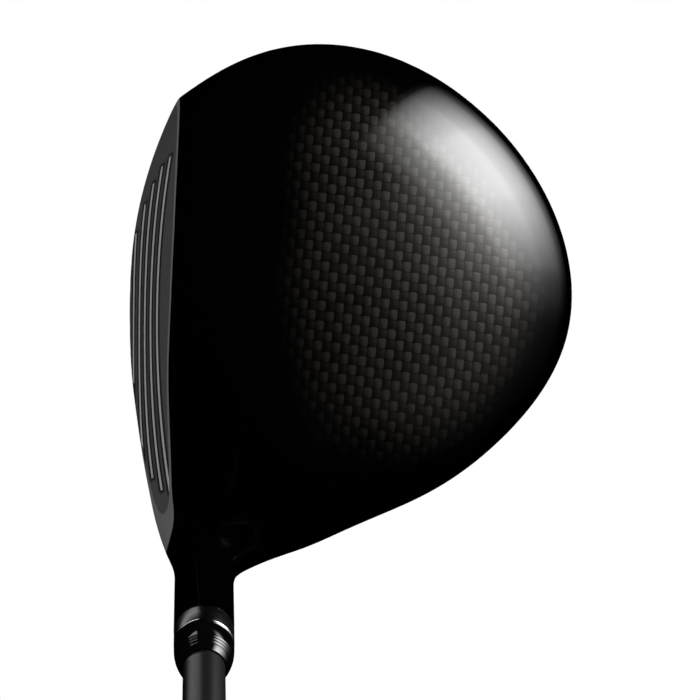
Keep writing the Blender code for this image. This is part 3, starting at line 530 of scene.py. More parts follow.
def grained(name, base, rough, vary=0.12, scale=2.0, bump=0.0, bump_scale=8.0, spread=0.06, **settings):
    """A material whose colour, roughness and surface vary a little."""
    made, n, shader, where = new_material(name, **settings)
    wire(n, shaded(n, n.noise(where, scale, 3.0), base, 1 - vary, 1 + vary), shader, "Base Color")
    finer = n.noise(where, scale * 3, 3.0)
    wire(n, n.span(finer, 0.3, 0.7, max(0.0, rough - spread), rough + spread), shader, "Roughness")
    if bump:
        wire(n, n.bump(n.noise(where, bump_scale, 3.0), bump), shader, "Normal")
    return made


def brushed(name, base, rough, around, spread=0.08):
    """Turned metal: fine rings round the axis, with noise stretched along them."""
    made, n, shader, where = new_material(name, Metallic=1.0)
    height = n.add("ShaderNodeVectorMath", {0: where, 1: tuple(around)}, operation="DOT_PRODUCT").outputs["Value"]
    line = n.add("ShaderNodeCombineXYZ", {0: height, 1: 0.0, 2: 0.0}).outputs[0]
    rings = n.noise(line, 9.0, 4.0, 0.7)
    wire(n, shaded(n, n.noise(where, 0.6, 3.0), base, 0.88, 1.1), shader, "Base Color")
    wire(n, n.span(rings, 0.25, 0.75, rough - spread, rough + spread, "LINEAR"), shader, "Roughness")
    wire(n, n.bump(rings, 0.002, 0.6), shader, "Normal")
    return made


def black_paint():
    """Gloss black that varies very slightly. The face's rim, as seen from above, keeps the face's finish."""
    made, n, shader, where = new_material("gloss_paint", Coat_Weight=0.0, Specular_IOR_Level=0.5)
    rim = n.add("ShaderNodeAttribute", attribute_name="face_side").outputs["Fac"]
    rim = n.span(rim, -0.1, 0.1)
    cloud = n.noise(where, 0.4, 2.0)
    black = n.mix(cloud, colour(0.0001, 0.0001, 0.00012), colour(0.0003, 0.0003, 0.00034))
    grey = n.mix(n.noise(where, 3.0, 3.0), colour(0.105, 0.104, 0.108), colour(0.135, 0.134, 0.138))
    wire(n, n.mix(rim, black, grey), shader, "Base Color")
    smooth = n.span(n.noise(where, 1.1, 2.0), 0.3, 0.7, 0.035, 0.05)
    wire(n, n.between(rim, smooth, 0.55), shader, "Roughness")
    return made


def face_finish():
    """Matte grey with a fine blasted grain, and painted shade right beside each score line, standing in for the
    grooves' shadow.
    """
    made, n, shader, where = new_material("face_finish")
    x, _, z = n.add("ShaderNodeSeparateXYZ", {0: where}).outputs
    # dark is a painted shade beside each score line, standing in for the grooves' shadow.
    dark = None
    for height, (start, end) in zip(SCORE_HEIGHTS, SCORE_SPANS):
        off = n.math("ABSOLUTE", n.math("SUBTRACT", z, height))
        from_middle = n.math("ABSOLUTE", n.math("SUBTRACT", x, (start + end) / 2))
        over = n.math("SUBTRACT", from_middle, (end - start) / 2)
        near = n.math("MULTIPLY", n.span(off, 2.0, 4.0, 1.0, 0.0), n.span(over, 0.0, 1.2, 1.0, 0.0))
        dark = near if dark is None else n.math("MAXIMUM", dark, near)
    grain = n.noise(where, 6.0, 4.0, 0.7)
    plain = n.mix(grain, colour(0.054, 0.053, 0.057), colour(0.072, 0.071, 0.076))
    # Painted shade: the plain grey turns near black where dark is high.
    wire(n, n.mix(n.math("MULTIPLY", dark, 0.9), plain, colour(0.008, 0.008, 0.009)), shader, "Base Color")
    wire(n, n.span(grain, 0.3, 0.7, 0.5, 0.66), shader, "Roughness")
    wire(n, n.bump(n.noise(where, 14.0, 3.0, 0.7), 0.01, 0.5), shader, "Normal")
    return made


WEAVE_ALONG, WEAVE_ACROSS, WEAVE_TILT = 2.30, 2.10, radians(5.5)
FIBRES = 16.0  # streaks along each tow


def carbon():
    """Plain-weave carbon under a clear coat, fading into black paint towards the crown's border, with painted sheen
    and shade on the tows.
    """
    coat = {"Coat_Weight": 1.0, "Coat_Roughness": 0.035, "Coat_IOR": 1.5}
    made, n, shader, where = new_material("carbon_clear_coat", Specular_IOR_Level=0.0, **coat)
    turned = n.add("ShaderNodeVectorRotate", {"Vector": where, "Angle": WEAVE_TILT}, rotation_type="Z_AXIS").outputs[0]
    x, y, _ = n.add("ShaderNodeSeparateXYZ", {0: turned}).outputs
    u, v = n.math("DIVIDE", x, WEAVE_ALONG), n.math("DIVIDE", y, WEAVE_ACROSS)
    fu, fv = n.math("FRACT", u), n.math("FRACT", v)
    parity = n.math("ADD", n.math("FLOOR", u), n.math("FLOOR", v))
    over = n.math("FLOORED_MODULO", parity, 2.0)

    def arch(share):
        """From 0 at a cell's edges to 1 at its middle, as a half circle."""
        side = n.math("SUBTRACT", n.math("MULTIPLY", share, 2.0), 1.0)
        return n.math("SQRT", n.math("SUBTRACT", 1.0, n.math("MULTIPLY", n.math("MULTIPLY", side, side), 0.96)))

    across, along = arch(fu), arch(fv)
    # In every other cell the tow that runs along Y is on top, and in the rest the one along X.
    # Each is round across its width and dives at its ends.
    first = n.math("MULTIPLY", n.math("POWER", across, 0.7), n.math("POWER", along, 0.35))
    second = n.math("MULTIPLY", n.math("POWER", along, 0.7), n.math("POWER", across, 0.35))
    height = n.between(over, first, second)
    fibre = n.between(over, n.math("MULTIPLY", u, FIBRES), n.math("MULTIPLY", v, FIBRES))
    streak = n.noise(n.add("ShaderNodeCombineXYZ", {0: fibre, 1: parity, 2: 0.0}).outputs[0], 1.0, 2.0)
    # shown carries the weave's painted fade and its painted sheen towards the back and toe.
    shown = n.add("ShaderNodeAttribute", attribute_name="weave").outputs["Fac"]
    # Painted shade and sheen on the tows: each is darker towards its edges as a rounded tow in the light (edge), the
    # tows of one direction are darker than the others as fibres catch light by direction (kind), and each cell is
    # painted lighter towards one side (lit_side).
    edge = n.span(height, 0.25, 0.85)
    kind = n.span(over, 0.0, 1.0, 0.34, 1.0, "LINEAR")
    patchy = n.span(n.noise(where, 0.11, 3.0), 0.3, 0.7, 0.7, 1.2, "LINEAR")
    lit_side = n.math("MULTIPLY", n.span(fv, 0.15, 0.9, 0.5, 1.45), n.span(fu, 0.1, 0.9, 1.25, 0.75))
    streaky = n.span(streak, 0.25, 0.75, 0.55, 1.4, "LINEAR")
    level = n.math("MULTIPLY", n.math("MULTIPLY", edge, kind), streaky)
    level = n.math("MULTIPLY", level, n.math("MULTIPLY", patchy, lit_side))
    tow = n.mix(level, colour(0.0012, 0.001, 0.0009), colour(0.04, 0.035, 0.030))
    wire(n, n.mix(shown, colour(0.0003, 0.0003, 0.0003), tow), shader, "Base Color")
    wire(n, n.math("MULTIPLY", shown, 0.3), shader, "Metallic")
    wire(n, n.span(streak, 0.3, 0.7, 0.38, 0.48), shader, "Roughness")
    wire(n, n.bump(n.math("MULTIPLY", height, shown), 0.16), shader, "Normal")
    return made


PAINT, FACE, CARBON = black_paint(), face_finish(), carbon()
SCORE = grained("score_paint", (0.34, 0.34, 0.35), 0.55, vary=0.08, scale=4.0, bump=0.01, bump_scale=20.0)
SATIN = brushed("satin_metal", (0.075, 0.075, 0.078), 0.26, AXIS, spread=0.05)
POLISHED = brushed("polished_metal", (0.75, 0.75, 0.77), 0.12, AXIS, spread=0.03)
FERRULE = grained("ferrule_plastic", (0.0012, 0.0012, 0.0012), 0.06, scale=0.8, spread=0.02, IOR=1.5)
SHAFT = grained("shaft_finish", (0.006, 0.006, 0.0065), 0.34, vary=0.2, scale=1.5, spread=0.03, IOR=1.38)
STEEL = brushed("screw_steel", (0.42, 0.42, 0.43), 0.28, AXIS)
WEIGHT_STEEL = brushed("weight_steel", (0.42, 0.42, 0.43), 0.28, WEIGHT_OUT)
SEAL = grained("seal_rubber", (0.02, 0.02, 0.02), 0.6, bump=0.02)
GLUE = grained("adhesive", (0.45, 0.42, 0.35), 0.5, bump=0.05, bump_scale=1.5)
PLUG = grained("plug_plastic", (0.5, 0.35, 0.2), 0.85, vary=0.3, bump=0.05)
TAPE = grained("tape", (0.7, 0.68, 0.6), 0.8, bump=0.03, bump_scale=3.0)
RUBBER = grained("grip_rubber", (0.016, 0.016, 0.017), 0.62, vary=0.2, scale=1.0, bump=0.02, bump_scale=4.0)
CAP = grained("cap_rubber", (0.02, 0.02, 0.02), 0.5, vary=0.2, scale=1.0, bump=0.01, bump_scale=6.0)

# --- Head ---


def fine_head():
    """The head's outside, with small faces where the face meets the crown and sole."""
    border, cuts = 1.6, 4
    points, faces = surface_of(head_shape, FINE_LOW, FINE_HIGH, FINE_CELL)
    mesh = bpy.data.meshes.new("fine_head")
    mesh.from_pydata([tuple(p) for p in points * MM], [], [tuple(map(int, f)) for f in faces])
    b = bmesh.new()
    b.from_mesh(mesh)
    near = (np.abs(outer(points)) < border) & (np.abs(front(points)) < border)
    b.verts.ensure_lookup_table()
    edges = {e for i in np.nonzero(near)[0] for f in b.verts[i].link_faces for e in f.edges}
    bmesh.ops.subdivide_edges(b, edges=list(edges), cuts=cuts, use_grid_fill=True)
    b.verts.ensure_lookup_table()
    points = snapped(np.array([v.co[:] for v in b.verts]) / MM, head_shape, 5)
    for v, p in zip(b.verts, points):
        v.co = Vector(p * MM)
    bmesh.ops.triangulate(b, faces=[f for f in b.faces if len(f.verts) > 4])
    bmesh.ops.recalc_face_normals(b, faces=b.faces)
    b.to_mesh(mesh)
    b.free()
    return mesh


def head_copy(name, mesh, material):
    obj = bpy.data.objects.new(name, mesh.copy())
    scene.collection.objects.link(obj)
    obj.data.materials.append(material)
    return obj


WEAVE_MIDDLE = (-4.0, 22.0)
WEAVE_EDGE = (
    (-40.0, -3.0), (-18.6, -5.7), (2.6, -8.1), (23.1, -4.7), (36.5, 2.3), (41.0, 14.1), (32.9, 38.2),
    (18.0, 49.0), (1.8, 56.0), (-18.0, 50.0), (-34.0, 39.0), (-46.0, 24.0), (-50.0, 10.0),
)


def weave_fade_and_sheen(p):
    """How much of the weave shows: most in the middle and none at the border, a painted fade, and less towards the
    face and heel, a painted sheen that grows towards the back and toe where the key light falls.
    """
    radius_at = polar_spline(WEAVE_EDGE, WEAVE_MIDDLE)
    d = p[:, :2] - WEAVE_MIDDLE
    out = np.hypot(*d.T) / radius_at(np.arctan2(d[:, 1], d[:, 0]))
    limit, fade = 1.07, 0.4
    share = np.clip((limit - out) / fade, 0, 1)
    # Painted sheen: the weave shows more towards the back and the toe, where the key light falls on the crown.
    sheen_to_back = np.clip(0.24 + (p[:, 1] + 5) / 55, 0.1, 1.2)
    sheen_to_toe = np.clip(1 - (p[:, 0] + 5) / 100, 0.6, 1.0)
    return share * share * (3 - 2 * share) * sheen_to_back * sheen_to_toe


def face_side(p):
    """Above 0 where the point belongs to the face's rim, for points high up and off the neck."""
    lowest, neck_clear, elsewhere = 16, 0.8, -5.0
    on_rim = (p[:, 2] > lowest) & (along_hosel(p)[0] > HOSEL_R + neck_clear)
    return np.where(on_rim, front(p) - outer(p), elsewhere)


def tool(name, shape, material=PAINT):
    """A solid that only takes part in Booleans."""
    return solid(name, shape, material, sharp=0)


def score_bar(height, start, end):
    """A bar that follows the face and cuts one line, wider in front of the face than at the line's floor."""
    half, floor_half, proud = 0.5 * SCORE_WIDTH, 0.42 * SCORE_WIDTH, 0.6
    xs = np.linspace(start, end, 33)
    corners = []
    for dz, sink in ((-half, -proud), (half, -proud), (floor_half, SCORE_DEPTH), (-floor_half, SCORE_DEPTH)):
        zs = np.full(xs.shape, height + dz)
        corners.append(np.stack([xs, front_y(xs, zs, sink), zs], -1))
    last = 4 * (len(xs) - 1)
    faces = [(0, 1, 2, 3), tuple(last + i for i in (3, 2, 1, 0))]
    for k in range(0, last, 4):
        faces += [(k + (i + 1) % 4, k + i, k + 4 + i, k + 4 + (i + 1) % 4) for i in range(4)]
    return np.stack(corners, 1).reshape(-1, 3), faces


def make_head():
    fine = fine_head()
    coarse = surface_of(outer, HEAD_LOW, HEAD_HIGH, COARSE_CELL)
    section = surface_of(body, HEAD_LOW, HEAD_HIGH, SECTION_CELL)

    def panel(grow, low):
        return tool("panel_tool", prism(closed_curve(PANEL, PANEL_STEPS, grow), low, PANEL_HIGH))

    above, wide = COLLAR + 30, 30
    collar_cut = tool("collar_tool", lathe([(0, above), (wide, above), (wide, COLLAR), (0, COLLAR)], HEEL, AXIS))
    seat, bore_top, bore_foot = PORT_FLOOR + SEAT_WEB, COLLAR + NECK_PAST, -4
    bore = tool("bore_tool", lathe([
        (0, bore_top), (HOSEL_BORE_R, bore_top), (HOSEL_BORE_R, seat), (SCREW_HOLE_R, seat),
        (SCREW_HOLE_R, PORT_FLOOR), (PORT_R, PORT_FLOOR), (PORT_R, bore_foot), (0, bore_foot),
    ], HEEL, AXIS, 72))
    port_top = 12
    port = tool("weight_port_tool", lathe([
        (0, port_top), (WEIGHT_PORT_R, port_top), (WEIGHT_PORT_R, WEIGHT_SEAT),
        (WEIGHT_HOLE_R, WEIGHT_SEAT), (WEIGHT_HOLE_R, WEIGHT_HOLE_END), (0, WEIGHT_HOLE_END),
    ], WEIGHT_AT, WEIGHT_OUT, 72))
    inside = tool("cavity_tool", surface_of(cavity, HEAD_LOW, HEAD_HIGH, CAVITY_CELL))
    top, foot = 90, -20
    tube_line = [(0, top), (HOSEL_TUBE_R, top), (HOSEL_TUBE_R, foot), (0, foot)]
    tube = tool("tube_tool", lathe(tube_line, HEEL, AXIS, 48))
    top, foot = 10, -WEIGHT_LENGTH - 3
    boss_line = [(0, top), (WEIGHT_BOSS_R, top), (WEIGHT_BOSS_R, foot), (0, foot)]
    boss = tool("boss_tool", lathe(boss_line, WEIGHT_AT, WEIGHT_OUT, 48))
    less(inside, tube, boss)
    pocket_edge = tool("pocket_edge_tool", inset(section, body, FACE_RIM - PLATE_EDGE_GAP))
    pocket = combined(tool("pocket_tool", front_slab(FACE_THICKNESS + PLATE_GAP)), ("INTERSECT", pocket_edge))
    ledge = tool("ledge_tool", inset(coarse, outer, LEDGE_DEPTH))
    recess = less(panel(CROWN_GAP, PANEL_LOW), ledge)
    half, below = 90, -30.0
    square = half * np.array([(-1, -1), (1, -1), (1, 1), (-1, 1)])
    ground = tool("ground_tool", prism(square, below, 0.0))
    opening = panel(-LEDGE_WIDTH, OPENING_LOW)
    head = head_copy("head_shell", fine, PAINT)
    less(head, collar_cut, pocket, recess, opening, inside, bore, port, ground)

    crown = head_copy("crown_skin", fine, CARBON)
    under = tool("under_tool", inset(coarse, outer, CROWN_THICKNESS), CARBON)
    combined(crown, ("INTERSECT", panel(0.0, PANEL_LOW)), ("DIFFERENCE", under))

    plate = head_copy("face_front", fine, FACE)
    edge = tool("plate_edge_tool", inset(section, body, FACE_RIM), FACE)
    back = tool("plate_back_tool", front_slab(FACE_THICKNESS), FACE)
    combined(plate, ("INTERSECT", edge), ("INTERSECT", back))
    for height, (start, end) in zip(SCORE_HEIGHTS, SCORE_SPANS):
        less(plate, tool("score_tool", score_bar(height, start, end), SCORE))
    for obj in (head, crown, plate):
        field_normals(obj, head_shape)
    paint_by(head, "face_side", face_side)
    paint_by(crown, "weave", weave_fade_and_sheen)
    piece(head, "head", "head_body")
    piece(crown, "head", "crown_panel")
    piece(plate, "head", "face_plate")
    bpy.data.meshes.remove(fine)


# --- Hosel sleeve, ferrule and shaft ---

FLANGE_R, SLEEVE_R, SLEEVE_FOOT_R, SLEEVE_BORE_R = 6.7, 5.45, 5.4, 4.78
SLEEVE_FOOT = PORT_FLOOR + SEAT_WEB + 0.5
SPLINE_COUNT, SPLINE_HEIGHT = 12, 6
BLIND_R, BLIND_TOP = 2.6, 55.0  # the sleeve's threaded hole
BAND_FOOT, BAND_TOP, BAND_GAP = COLLAR + 0.05, COLLAR + 5.95, 0.05
FERRULE_R, FERRULE_NOSE, FERRULE_RINGS = 6.65, 12.0, (94.2, 95.1, 96.0)
SHAFT_SEAT, SHAFT_TIP_R, SHAFT_BUTT_R, SHAFT_PARALLEL, SHAFT_END = 57.5, 4.62, 7.6, 170.0, 1143.0
SCREW_R, SCREW_HEAD_R, SCREW_HEAD, SCREW_TIP, SCREW_PITCH, SCREW_THREAD = 2.5, 4.75, 5.0, 53.0, 0.8, 0.4
WEIGHT_PITCH, WEIGHT_THREAD, THREAD_ROW = 1.0, 0.45, -0.1
GRIP_MOUTH, GRIP_END, CLUB_END, TAPE_THICK = 880.0, 1143.2, 1149.0, 0.3


def shaft_radius(station):
    taper = (SHAFT_BUTT_R - SHAFT_TIP_R) * np.maximum(0.0, station - SHAFT_PARALLEL)
    return SHAFT_TIP_R + taper / (SHAFT_END - SHAFT_PARALLEL)


def on_axis(name, profile, material, body_name, node, corner=0.0, steps=96, shape=None, sharp=30.0):
    """A piece turned about the hosel's axis, its corners rounded by this radius."""
    profile = rounded(profile, corner, closed=profile[0][0] > 0) if corner else profile
    return piece(solid(name, lathe(profile, HEEL, AXIS, steps, shape), material, sharp), body_name, node)


def spline_slots():
    """The boxes between the sleeve's splines."""
    x, y = across(AXIS)
    near, far, half = 4.7, 6.4, 0.7
    points, faces = [], []
    for k in range(SPLINE_COUNT):
        a = tau * (k + 0.5) / SPLINE_COUNT
        u, v = cos(a) * x + sin(a) * y, cos(a) * y - sin(a) * x
        base = len(points)
        for z in (SLEEVE_FOOT - 1, SLEEVE_FOOT + SPLINE_HEIGHT):
            for s, t in ((near, -half), (far, -half), (far, half), (near, half)):
                points.append(HEEL + s * u + t * v + z * AXIS)
        box = ((3, 2, 1, 0), (4, 5, 6, 7), (0, 1, 5, 4), (1, 2, 6, 5), (2, 3, 7, 6), (3, 0, 4, 7))
        faces += [tuple(base + i for i in q) for q in box]
    return points, faces


def make_collar():
    band_r = SLEEVE_R + 0.08
    band = [(FLANGE_R, BAND_TOP), (FLANGE_R, BAND_FOOT), (band_r, BAND_FOOT), (band_r, BAND_TOP)]
    on_axis("collar_band", band, SATIN, "ring", "adapter_ring", 0.22)
    flange, step, chamfer = BAND_TOP + BAND_GAP, SLEEVE_FOOT + SPLINE_HEIGHT + 1, 0.5
    sleeve = solid("sleeve", lathe(rounded([
        (0, SHAFT_SEAT), (SLEEVE_BORE_R, SHAFT_SEAT), (SLEEVE_BORE_R, FLANGE_TOP),
        (FLANGE_R - chamfer, FLANGE_TOP), (FLANGE_R, FLANGE_TOP - chamfer), (FLANGE_R, flange), (SLEEVE_R, flange),
        (SLEEVE_R, step), (SLEEVE_FOOT_R, step), (SLEEVE_FOOT_R, SLEEVE_FOOT),
        (BLIND_R, SLEEVE_FOOT), (BLIND_R, BLIND_TOP), (0, BLIND_TOP),
    ], 0.06, closed=False), HEEL, AXIS), POLISHED)
    less(sleeve, tool("slot_tool", spline_slots(), POLISHED))
    sleeve.data.set_sharp_from_angle(angle=radians(30))
    piece(sleeve, "shaft_assembly", "adapter_sleeve")
    low, shoulder, mouth, chamfer = FLANGE_TOP + 0.05, FLANGE_TOP + 1.6, SHAFT_TIP_R + 0.1, 0.2
    rise = np.linspace(0, (FERRULE_TOP - shoulder) / FERRULE_NOSE, 60)
    outline = [(FERRULE_R * sqrt(1 - t * t), shoulder + FERRULE_NOSE * t) for t in rise]

    def ringed(angle, height, radius):
        """Fine grooves round the nose, but not in the mouth."""
        skin_r, depth, width = 5.2, 0.13, 0.2
        for ring in FERRULE_RINGS:
            groove = depth * np.exp(-(((height - ring) / width) ** 2))
            radius = radius - np.where(radius > skin_r, groove, 0.0)
        return radius

    profile = [
        *reversed(outline), (FERRULE_R, low + 0.5), (FERRULE_R, low + chamfer), (FERRULE_R - chamfer, low),
        (mouth, low), (mouth, FERRULE_TOP),
    ]
    on_axis("ferrule_nose", profile, FERRULE, "shaft_assembly", "ferrule", shape=ringed, sharp=50)


def make_shaft():
    tip, tip_wall, thinner = SHAFT_SEAT + 0.3, 1.25, 0.35
    parallel = [SHAFT_PARALLEL, 150, 130, 110, 90, tip]
    stations = np.concatenate([[SHAFT_END, 1000], np.arange(950, SHAFT_PARALLEL, -20), parallel])
    share = (stations[::-1] - SHAFT_SEAT) / (SHAFT_END - SHAFT_SEAT)
    bore = shaft_radius(stations[::-1]) - tip_wall + thinner * share
    profile = [*zip(shaft_radius(stations), stations), *zip(bore, stations[::-1])]
    on_axis("shaft_tube", profile, SHAFT, "shaft_assembly", "shaft", steps=72)


def make_grip():
    knots = np.array([
        (9.0, GRIP_MOUTH), (9.9, 881.5), (10.3, 890), (10.7, 910), (11.5, 960),
        (12.4, 1020), (13.1, 1080), (13.5, 1120), (13.4, GRIP_END),
    ])
    heights = np.concatenate([np.linspace(GRIP_MOUTH, 890, 11), np.arange(891.5, SHAFT_END, 1.5), [GRIP_END]])
    outside = [*zip(np.interp(heights, knots[:, 1], knots[:, 0]), heights)][::-1]
    inside = [(float(shaft_radius(s)) + TAPE_THICK, s) for s in (GRIP_MOUTH, GRIP_END)]

    def moulded(angle, height, radius):
        """Crossing spiral grooves in three panels, with a ring groove at each end of them."""
        turns, pitch, width, depth = 9, 0.34, 0.34, 0.45
        first = np.abs(np.sin(turns * angle + height * pitch))
        second = np.abs(np.sin(turns * angle - height * pitch))
        groove = np.maximum(np.exp(-((first / width) ** 2)), np.exp(-((second / width) ** 2)))
        panels = np.zeros_like(height)
        for low, high in ((900, 962), (968, 1038), (1044, 1128)):
            panels = np.maximum(panels, np.clip((height - low) / 2, 0, 1) * np.clip((high - height) / 2, 0, 1))
        rings = sum(np.exp(-(((height - ring) / 0.9) ** 2)) for ring in (894, 965, 1041, 1133))
        on_outside = radius > shaft_radius(height) + 1.0
        return radius - np.where(on_outside, depth * groove * panels + depth * rings, 0.0)

    grip = outside + inside
    on_axis("grip_sleeve", grip, RUBBER, "shaft_assembly", "grip", 0.0, 168, moulded, sharp=60)
    foot, vent, groove = GRIP_END + 0.1, 1.2, CLUB_END - 0.5
    cap = [
        (vent, CLUB_END), (9.0, CLUB_END), (9.3, groove), (10.1, groove), (10.4, CLUB_END), (13.0, CLUB_END),
        (14.6, CLUB_END - 0.7), (15.4, CLUB_END - 2.2), (15.2, CLUB_END - 4.0), (14.0, foot), (vent, foot),
    ]
    on_axis("grip_end_cap", cap, CAP, "shaft_assembly", "grip_cap", 0.35)


# --- Screws ---


def thread(pitch, depth, low, high, reach):
    """Cuts a helical thread into a lathe shape between low and high, where its radius is reach."""

    def cut(angle, height, radius):
        phase = (height / pitch - angle / tau) % 1.0
        flank = np.abs(2 * phase - 1)
        fade = np.clip((height - low) / pitch, 0, 1) * np.clip((high - height) / pitch, 0, 1)
        return radius - np.where((radius > reach - 0.2) & (radius < reach + 0.01), depth * fade * flank, 0.0)

    return cut


def socket_tool(at, direction, low, high, material):
    """A star of six rounded points, from low to high on an axis."""
    x, y = across(direction)
    outer_r, inner_r, count = 2.25, 1.65, 72
    ring = []
    for i in range(count):
        a = tau * i / count
        r = (outer_r + inner_r) / 2 + (outer_r - inner_r) / 2 * cos(6 * a)
        ring.append((r * cos(a), r * sin(a)))
    points, faces = prism(np.array(ring), low, high)
    points = np.array(at) + points[:, :1] * x + points[:, 1:2] * y + points[:, 2:] * np.array(direction)
    return tool("socket_tool", (points, faces), material)


def threaded(name, profile, at, direction, steps, cut, socket, material):
    """A threaded piece with its socket cut."""
    obj = solid(name, lathe(profile, at, direction, steps, cut), material)
    less(obj, socket_tool(at, direction, *socket, material))
    obj.data.set_sharp_from_angle(angle=radians(35))
    return obj


def make_screws():
    washer_foot, washer_top = PORT_FLOOR - 1.7, PORT_FLOOR - 0.1
    washer_r, hole_r = SCREW_HEAD_R + 0.7, SCREW_R + 0.15
    washer = [
        (washer_r - 0.2, washer_top), (washer_r, washer_top - 0.2), (washer_r, washer_foot + 0.5),
        (washer_r - 0.5, washer_foot), (hole_r, washer_foot), (hole_r, washer_top),
    ]
    on_axis("screw_washer_ring", washer, STEEL, "screw_washer", "hosel_screw_washer", 0.1)
    head_top = washer_foot - 0.1
    head_foot = head_top - SCREW_HEAD
    rows = [(SCREW_R, s) for s in np.arange(SCREW_TIP - 0.6, head_top + 4.0, THREAD_ROW)]
    profile = [
        (0, SCREW_TIP), (SCREW_R - 0.6, SCREW_TIP), *rows, (SCREW_R, head_top), (SCREW_HEAD_R - 0.2, head_top),
        (SCREW_HEAD_R, head_top - 0.2), (SCREW_HEAD_R, head_foot + 0.6), (SCREW_HEAD_R - 0.6, head_foot),
        (0, head_foot),
    ]
    cut = thread(SCREW_PITCH, SCREW_THREAD, head_top + 4.2, SCREW_TIP - 0.5, SCREW_R)
    socket = head_foot - 1, head_foot + 3
    screw = threaded("key_screw", profile, HEEL, AXIS, 48, cut, socket, STEEL)
    piece(screw, "screw", "hosel_screw")
    cap_top = -0.5
    rows = [(WEIGHT_SHANK_R, s) for s in np.arange(-WEIGHT_CAP - 0.6, 0.6 - WEIGHT_LENGTH, THREAD_ROW)]
    profile = [
        (0, cap_top), (WEIGHT_R - 0.8, cap_top), (WEIGHT_R, cap_top - 0.8), (WEIGHT_R, -WEIGHT_CAP - 0.5), *rows,
        (WEIGHT_SHANK_R - 0.5, -WEIGHT_LENGTH), (0, -WEIGHT_LENGTH),
    ]
    cut = thread(WEIGHT_PITCH, WEIGHT_THREAD, 0.7 - WEIGHT_LENGTH, -WEIGHT_CAP - 0.7, WEIGHT_SHANK_R)
    socket = cap_top - 3, cap_top + 1
    weight = threaded("weight_plug", profile, WEIGHT_AT, WEIGHT_OUT, 72, cut, socket, WEIGHT_STEEL)
    piece(weight, "weight", "rear_weight")


make_head()
make_collar()
make_shaft()
make_grip()
make_screws()
KEPT_NODES = {
    "crown_bond": GLUE, "damping_patch": GLUE, "shaft_bond": GLUE, "tip_plug": PLUG, "grip_tape": TAPE,
    "hosel_screw_retainer": SEAL, "rear_weight_seal": SEAL,
}
for node, made in KEPT_NODES.items():
    for place in frame["nodes"][node].material_slots:
        place.material = made

# --- Camera, floor and light ---

CAMERA_AT, CAMERA_TILT = (0.1000, -0.0243, 0.7200), radians(7.2)
FOCAL, PAN_SHIFT, VIEW_WIDTH, SENSOR = 2918, 145.9, 700, 36.0  # the first three in one unit, the last in mm


def camera_basis():
    tilt, pan = CAMERA_TILT, atan(PAN_SHIFT / FOCAL)
    down = Vector((-sin(tilt), 0, -cos(tilt)))
    up = Vector((-cos(tilt), 0, sin(tilt)))
    forward = cos(pan) * down + sin(pan) * Vector((0, 1, 0))
    right = cos(pan) * Vector((0, 1, 0)) - sin(pan) * down
    return Matrix((right, up, -forward)).transposed()


camera = bpy.data.objects.new("camera", bpy.data.cameras.new("camera"))
camera.data.sensor_width, camera.data.lens = SENSOR, SENSOR * FOCAL / VIEW_WIDTH
camera.data.clip_start, camera.data.clip_end = 0.01, 50.0
camera.matrix_world = Matrix.Translation(CAMERA_AT) @ camera_basis().to_4x4()
scene.collection.objects.link(camera)
scene.camera = camera
scene.view_settings.view_transform = "Standard"

FLOOR_HALF, FLOOR_Z = 6e3, -0.5
corners = [(x * FLOOR_HALF, y * FLOOR_HALF, FLOOR_Z) for x, y in ((-1, -1), (1, -1), (1, 1), (-1, 1))]
floor = solid("floor", (corners, [(0, 1, 2, 3)]), sharp=0)
made = bpy.data.materials.new("floor")
made.use_nodes = True
made.node_tree.nodes.clear()
n = Nodes(made.node_tree)
glow = n.add("ShaderNodeEmission", {"Color": colour(1, 1, 1), "Strength": 1.0})
n.tree.links.new(glow.outputs[0], n.add("ShaderNodeOutputMaterial").inputs[0])
floor.data.materials.append(made)
floor.visible_diffuse = floor.visible_glossy = floor.visible_transmission = floor.visible_shadow = False


def curve_node(n, value, points):
    """A curve through (input, output) points, where both run from 0 to 1."""
    node = n.add("ShaderNodeFloatCurve", {"Value": value})
    line = node.mapping.curves[0]
    while len(line.points) < len(points):
        line.points.new(0.5, 0.5)
    for place, (x, y) in zip(line.points, points):
        place.location = (x, y)
        place.handle_type = "AUTO_CLAMPED"
    node.mapping.update()
    return node.outputs[0]


def lobe(n, azimuth, height, across_points, up_points, strength):
    """Light that falls off with azimuth and with height above the horizon, both in degrees."""
    u = n.math("DIVIDE", n.math("ADD", azimuth, 180.0), 360.0)
    v = n.math("DIVIDE", n.math("ADD", height, 90.0), 180.0)
    a = curve_node(n, u, [(0, 0), *(((x + 180) / 360, y) for x, y in across_points), (1, 0)])
    b = curve_node(n, v, [(0, 0), *(((x + 90) / 180, y) for x, y in up_points), (1, 0)])
    return n.math("MULTIPLY", n.math("MULTIPLY", a, b), strength)


KEY_STRENGTH, WIDE_STRENGTH, MATTE_LIGHT = 15.6, 0.7, 0.85
KEY_AZIMUTH = (
    (84, 0.0), (97, 0.04), (105, 0.19), (112, 0.43), (120, 0.80), (127, 0.98),
    (133, 0.95), (138, 0.68), (143, 0.36), (148, 0.08), (150, 0.0),
)
KEY_HEIGHT = (
    (-44, 0.0), (-32, 0.04), (-20, 0.25), (-10, 0.5), (0, 0.77),
    (10, 1.0), (20, 0.95), (30, 0.42), (38, 0.14), (48, 0.0),
)
WIDE_AZIMUTH = ((36, 0.0), (50, 0.08), (75, 0.25), (100, 0.7), (120, 0.95), (132, 0.5), (146, 0.0))
WIDE_HEIGHT = ((-35, 0.0), (-20, 0.1), (0, 0.35), (18, 0.8), (35, 0.9), (50, 0.35), (62, 0.08), (78, 0.0))


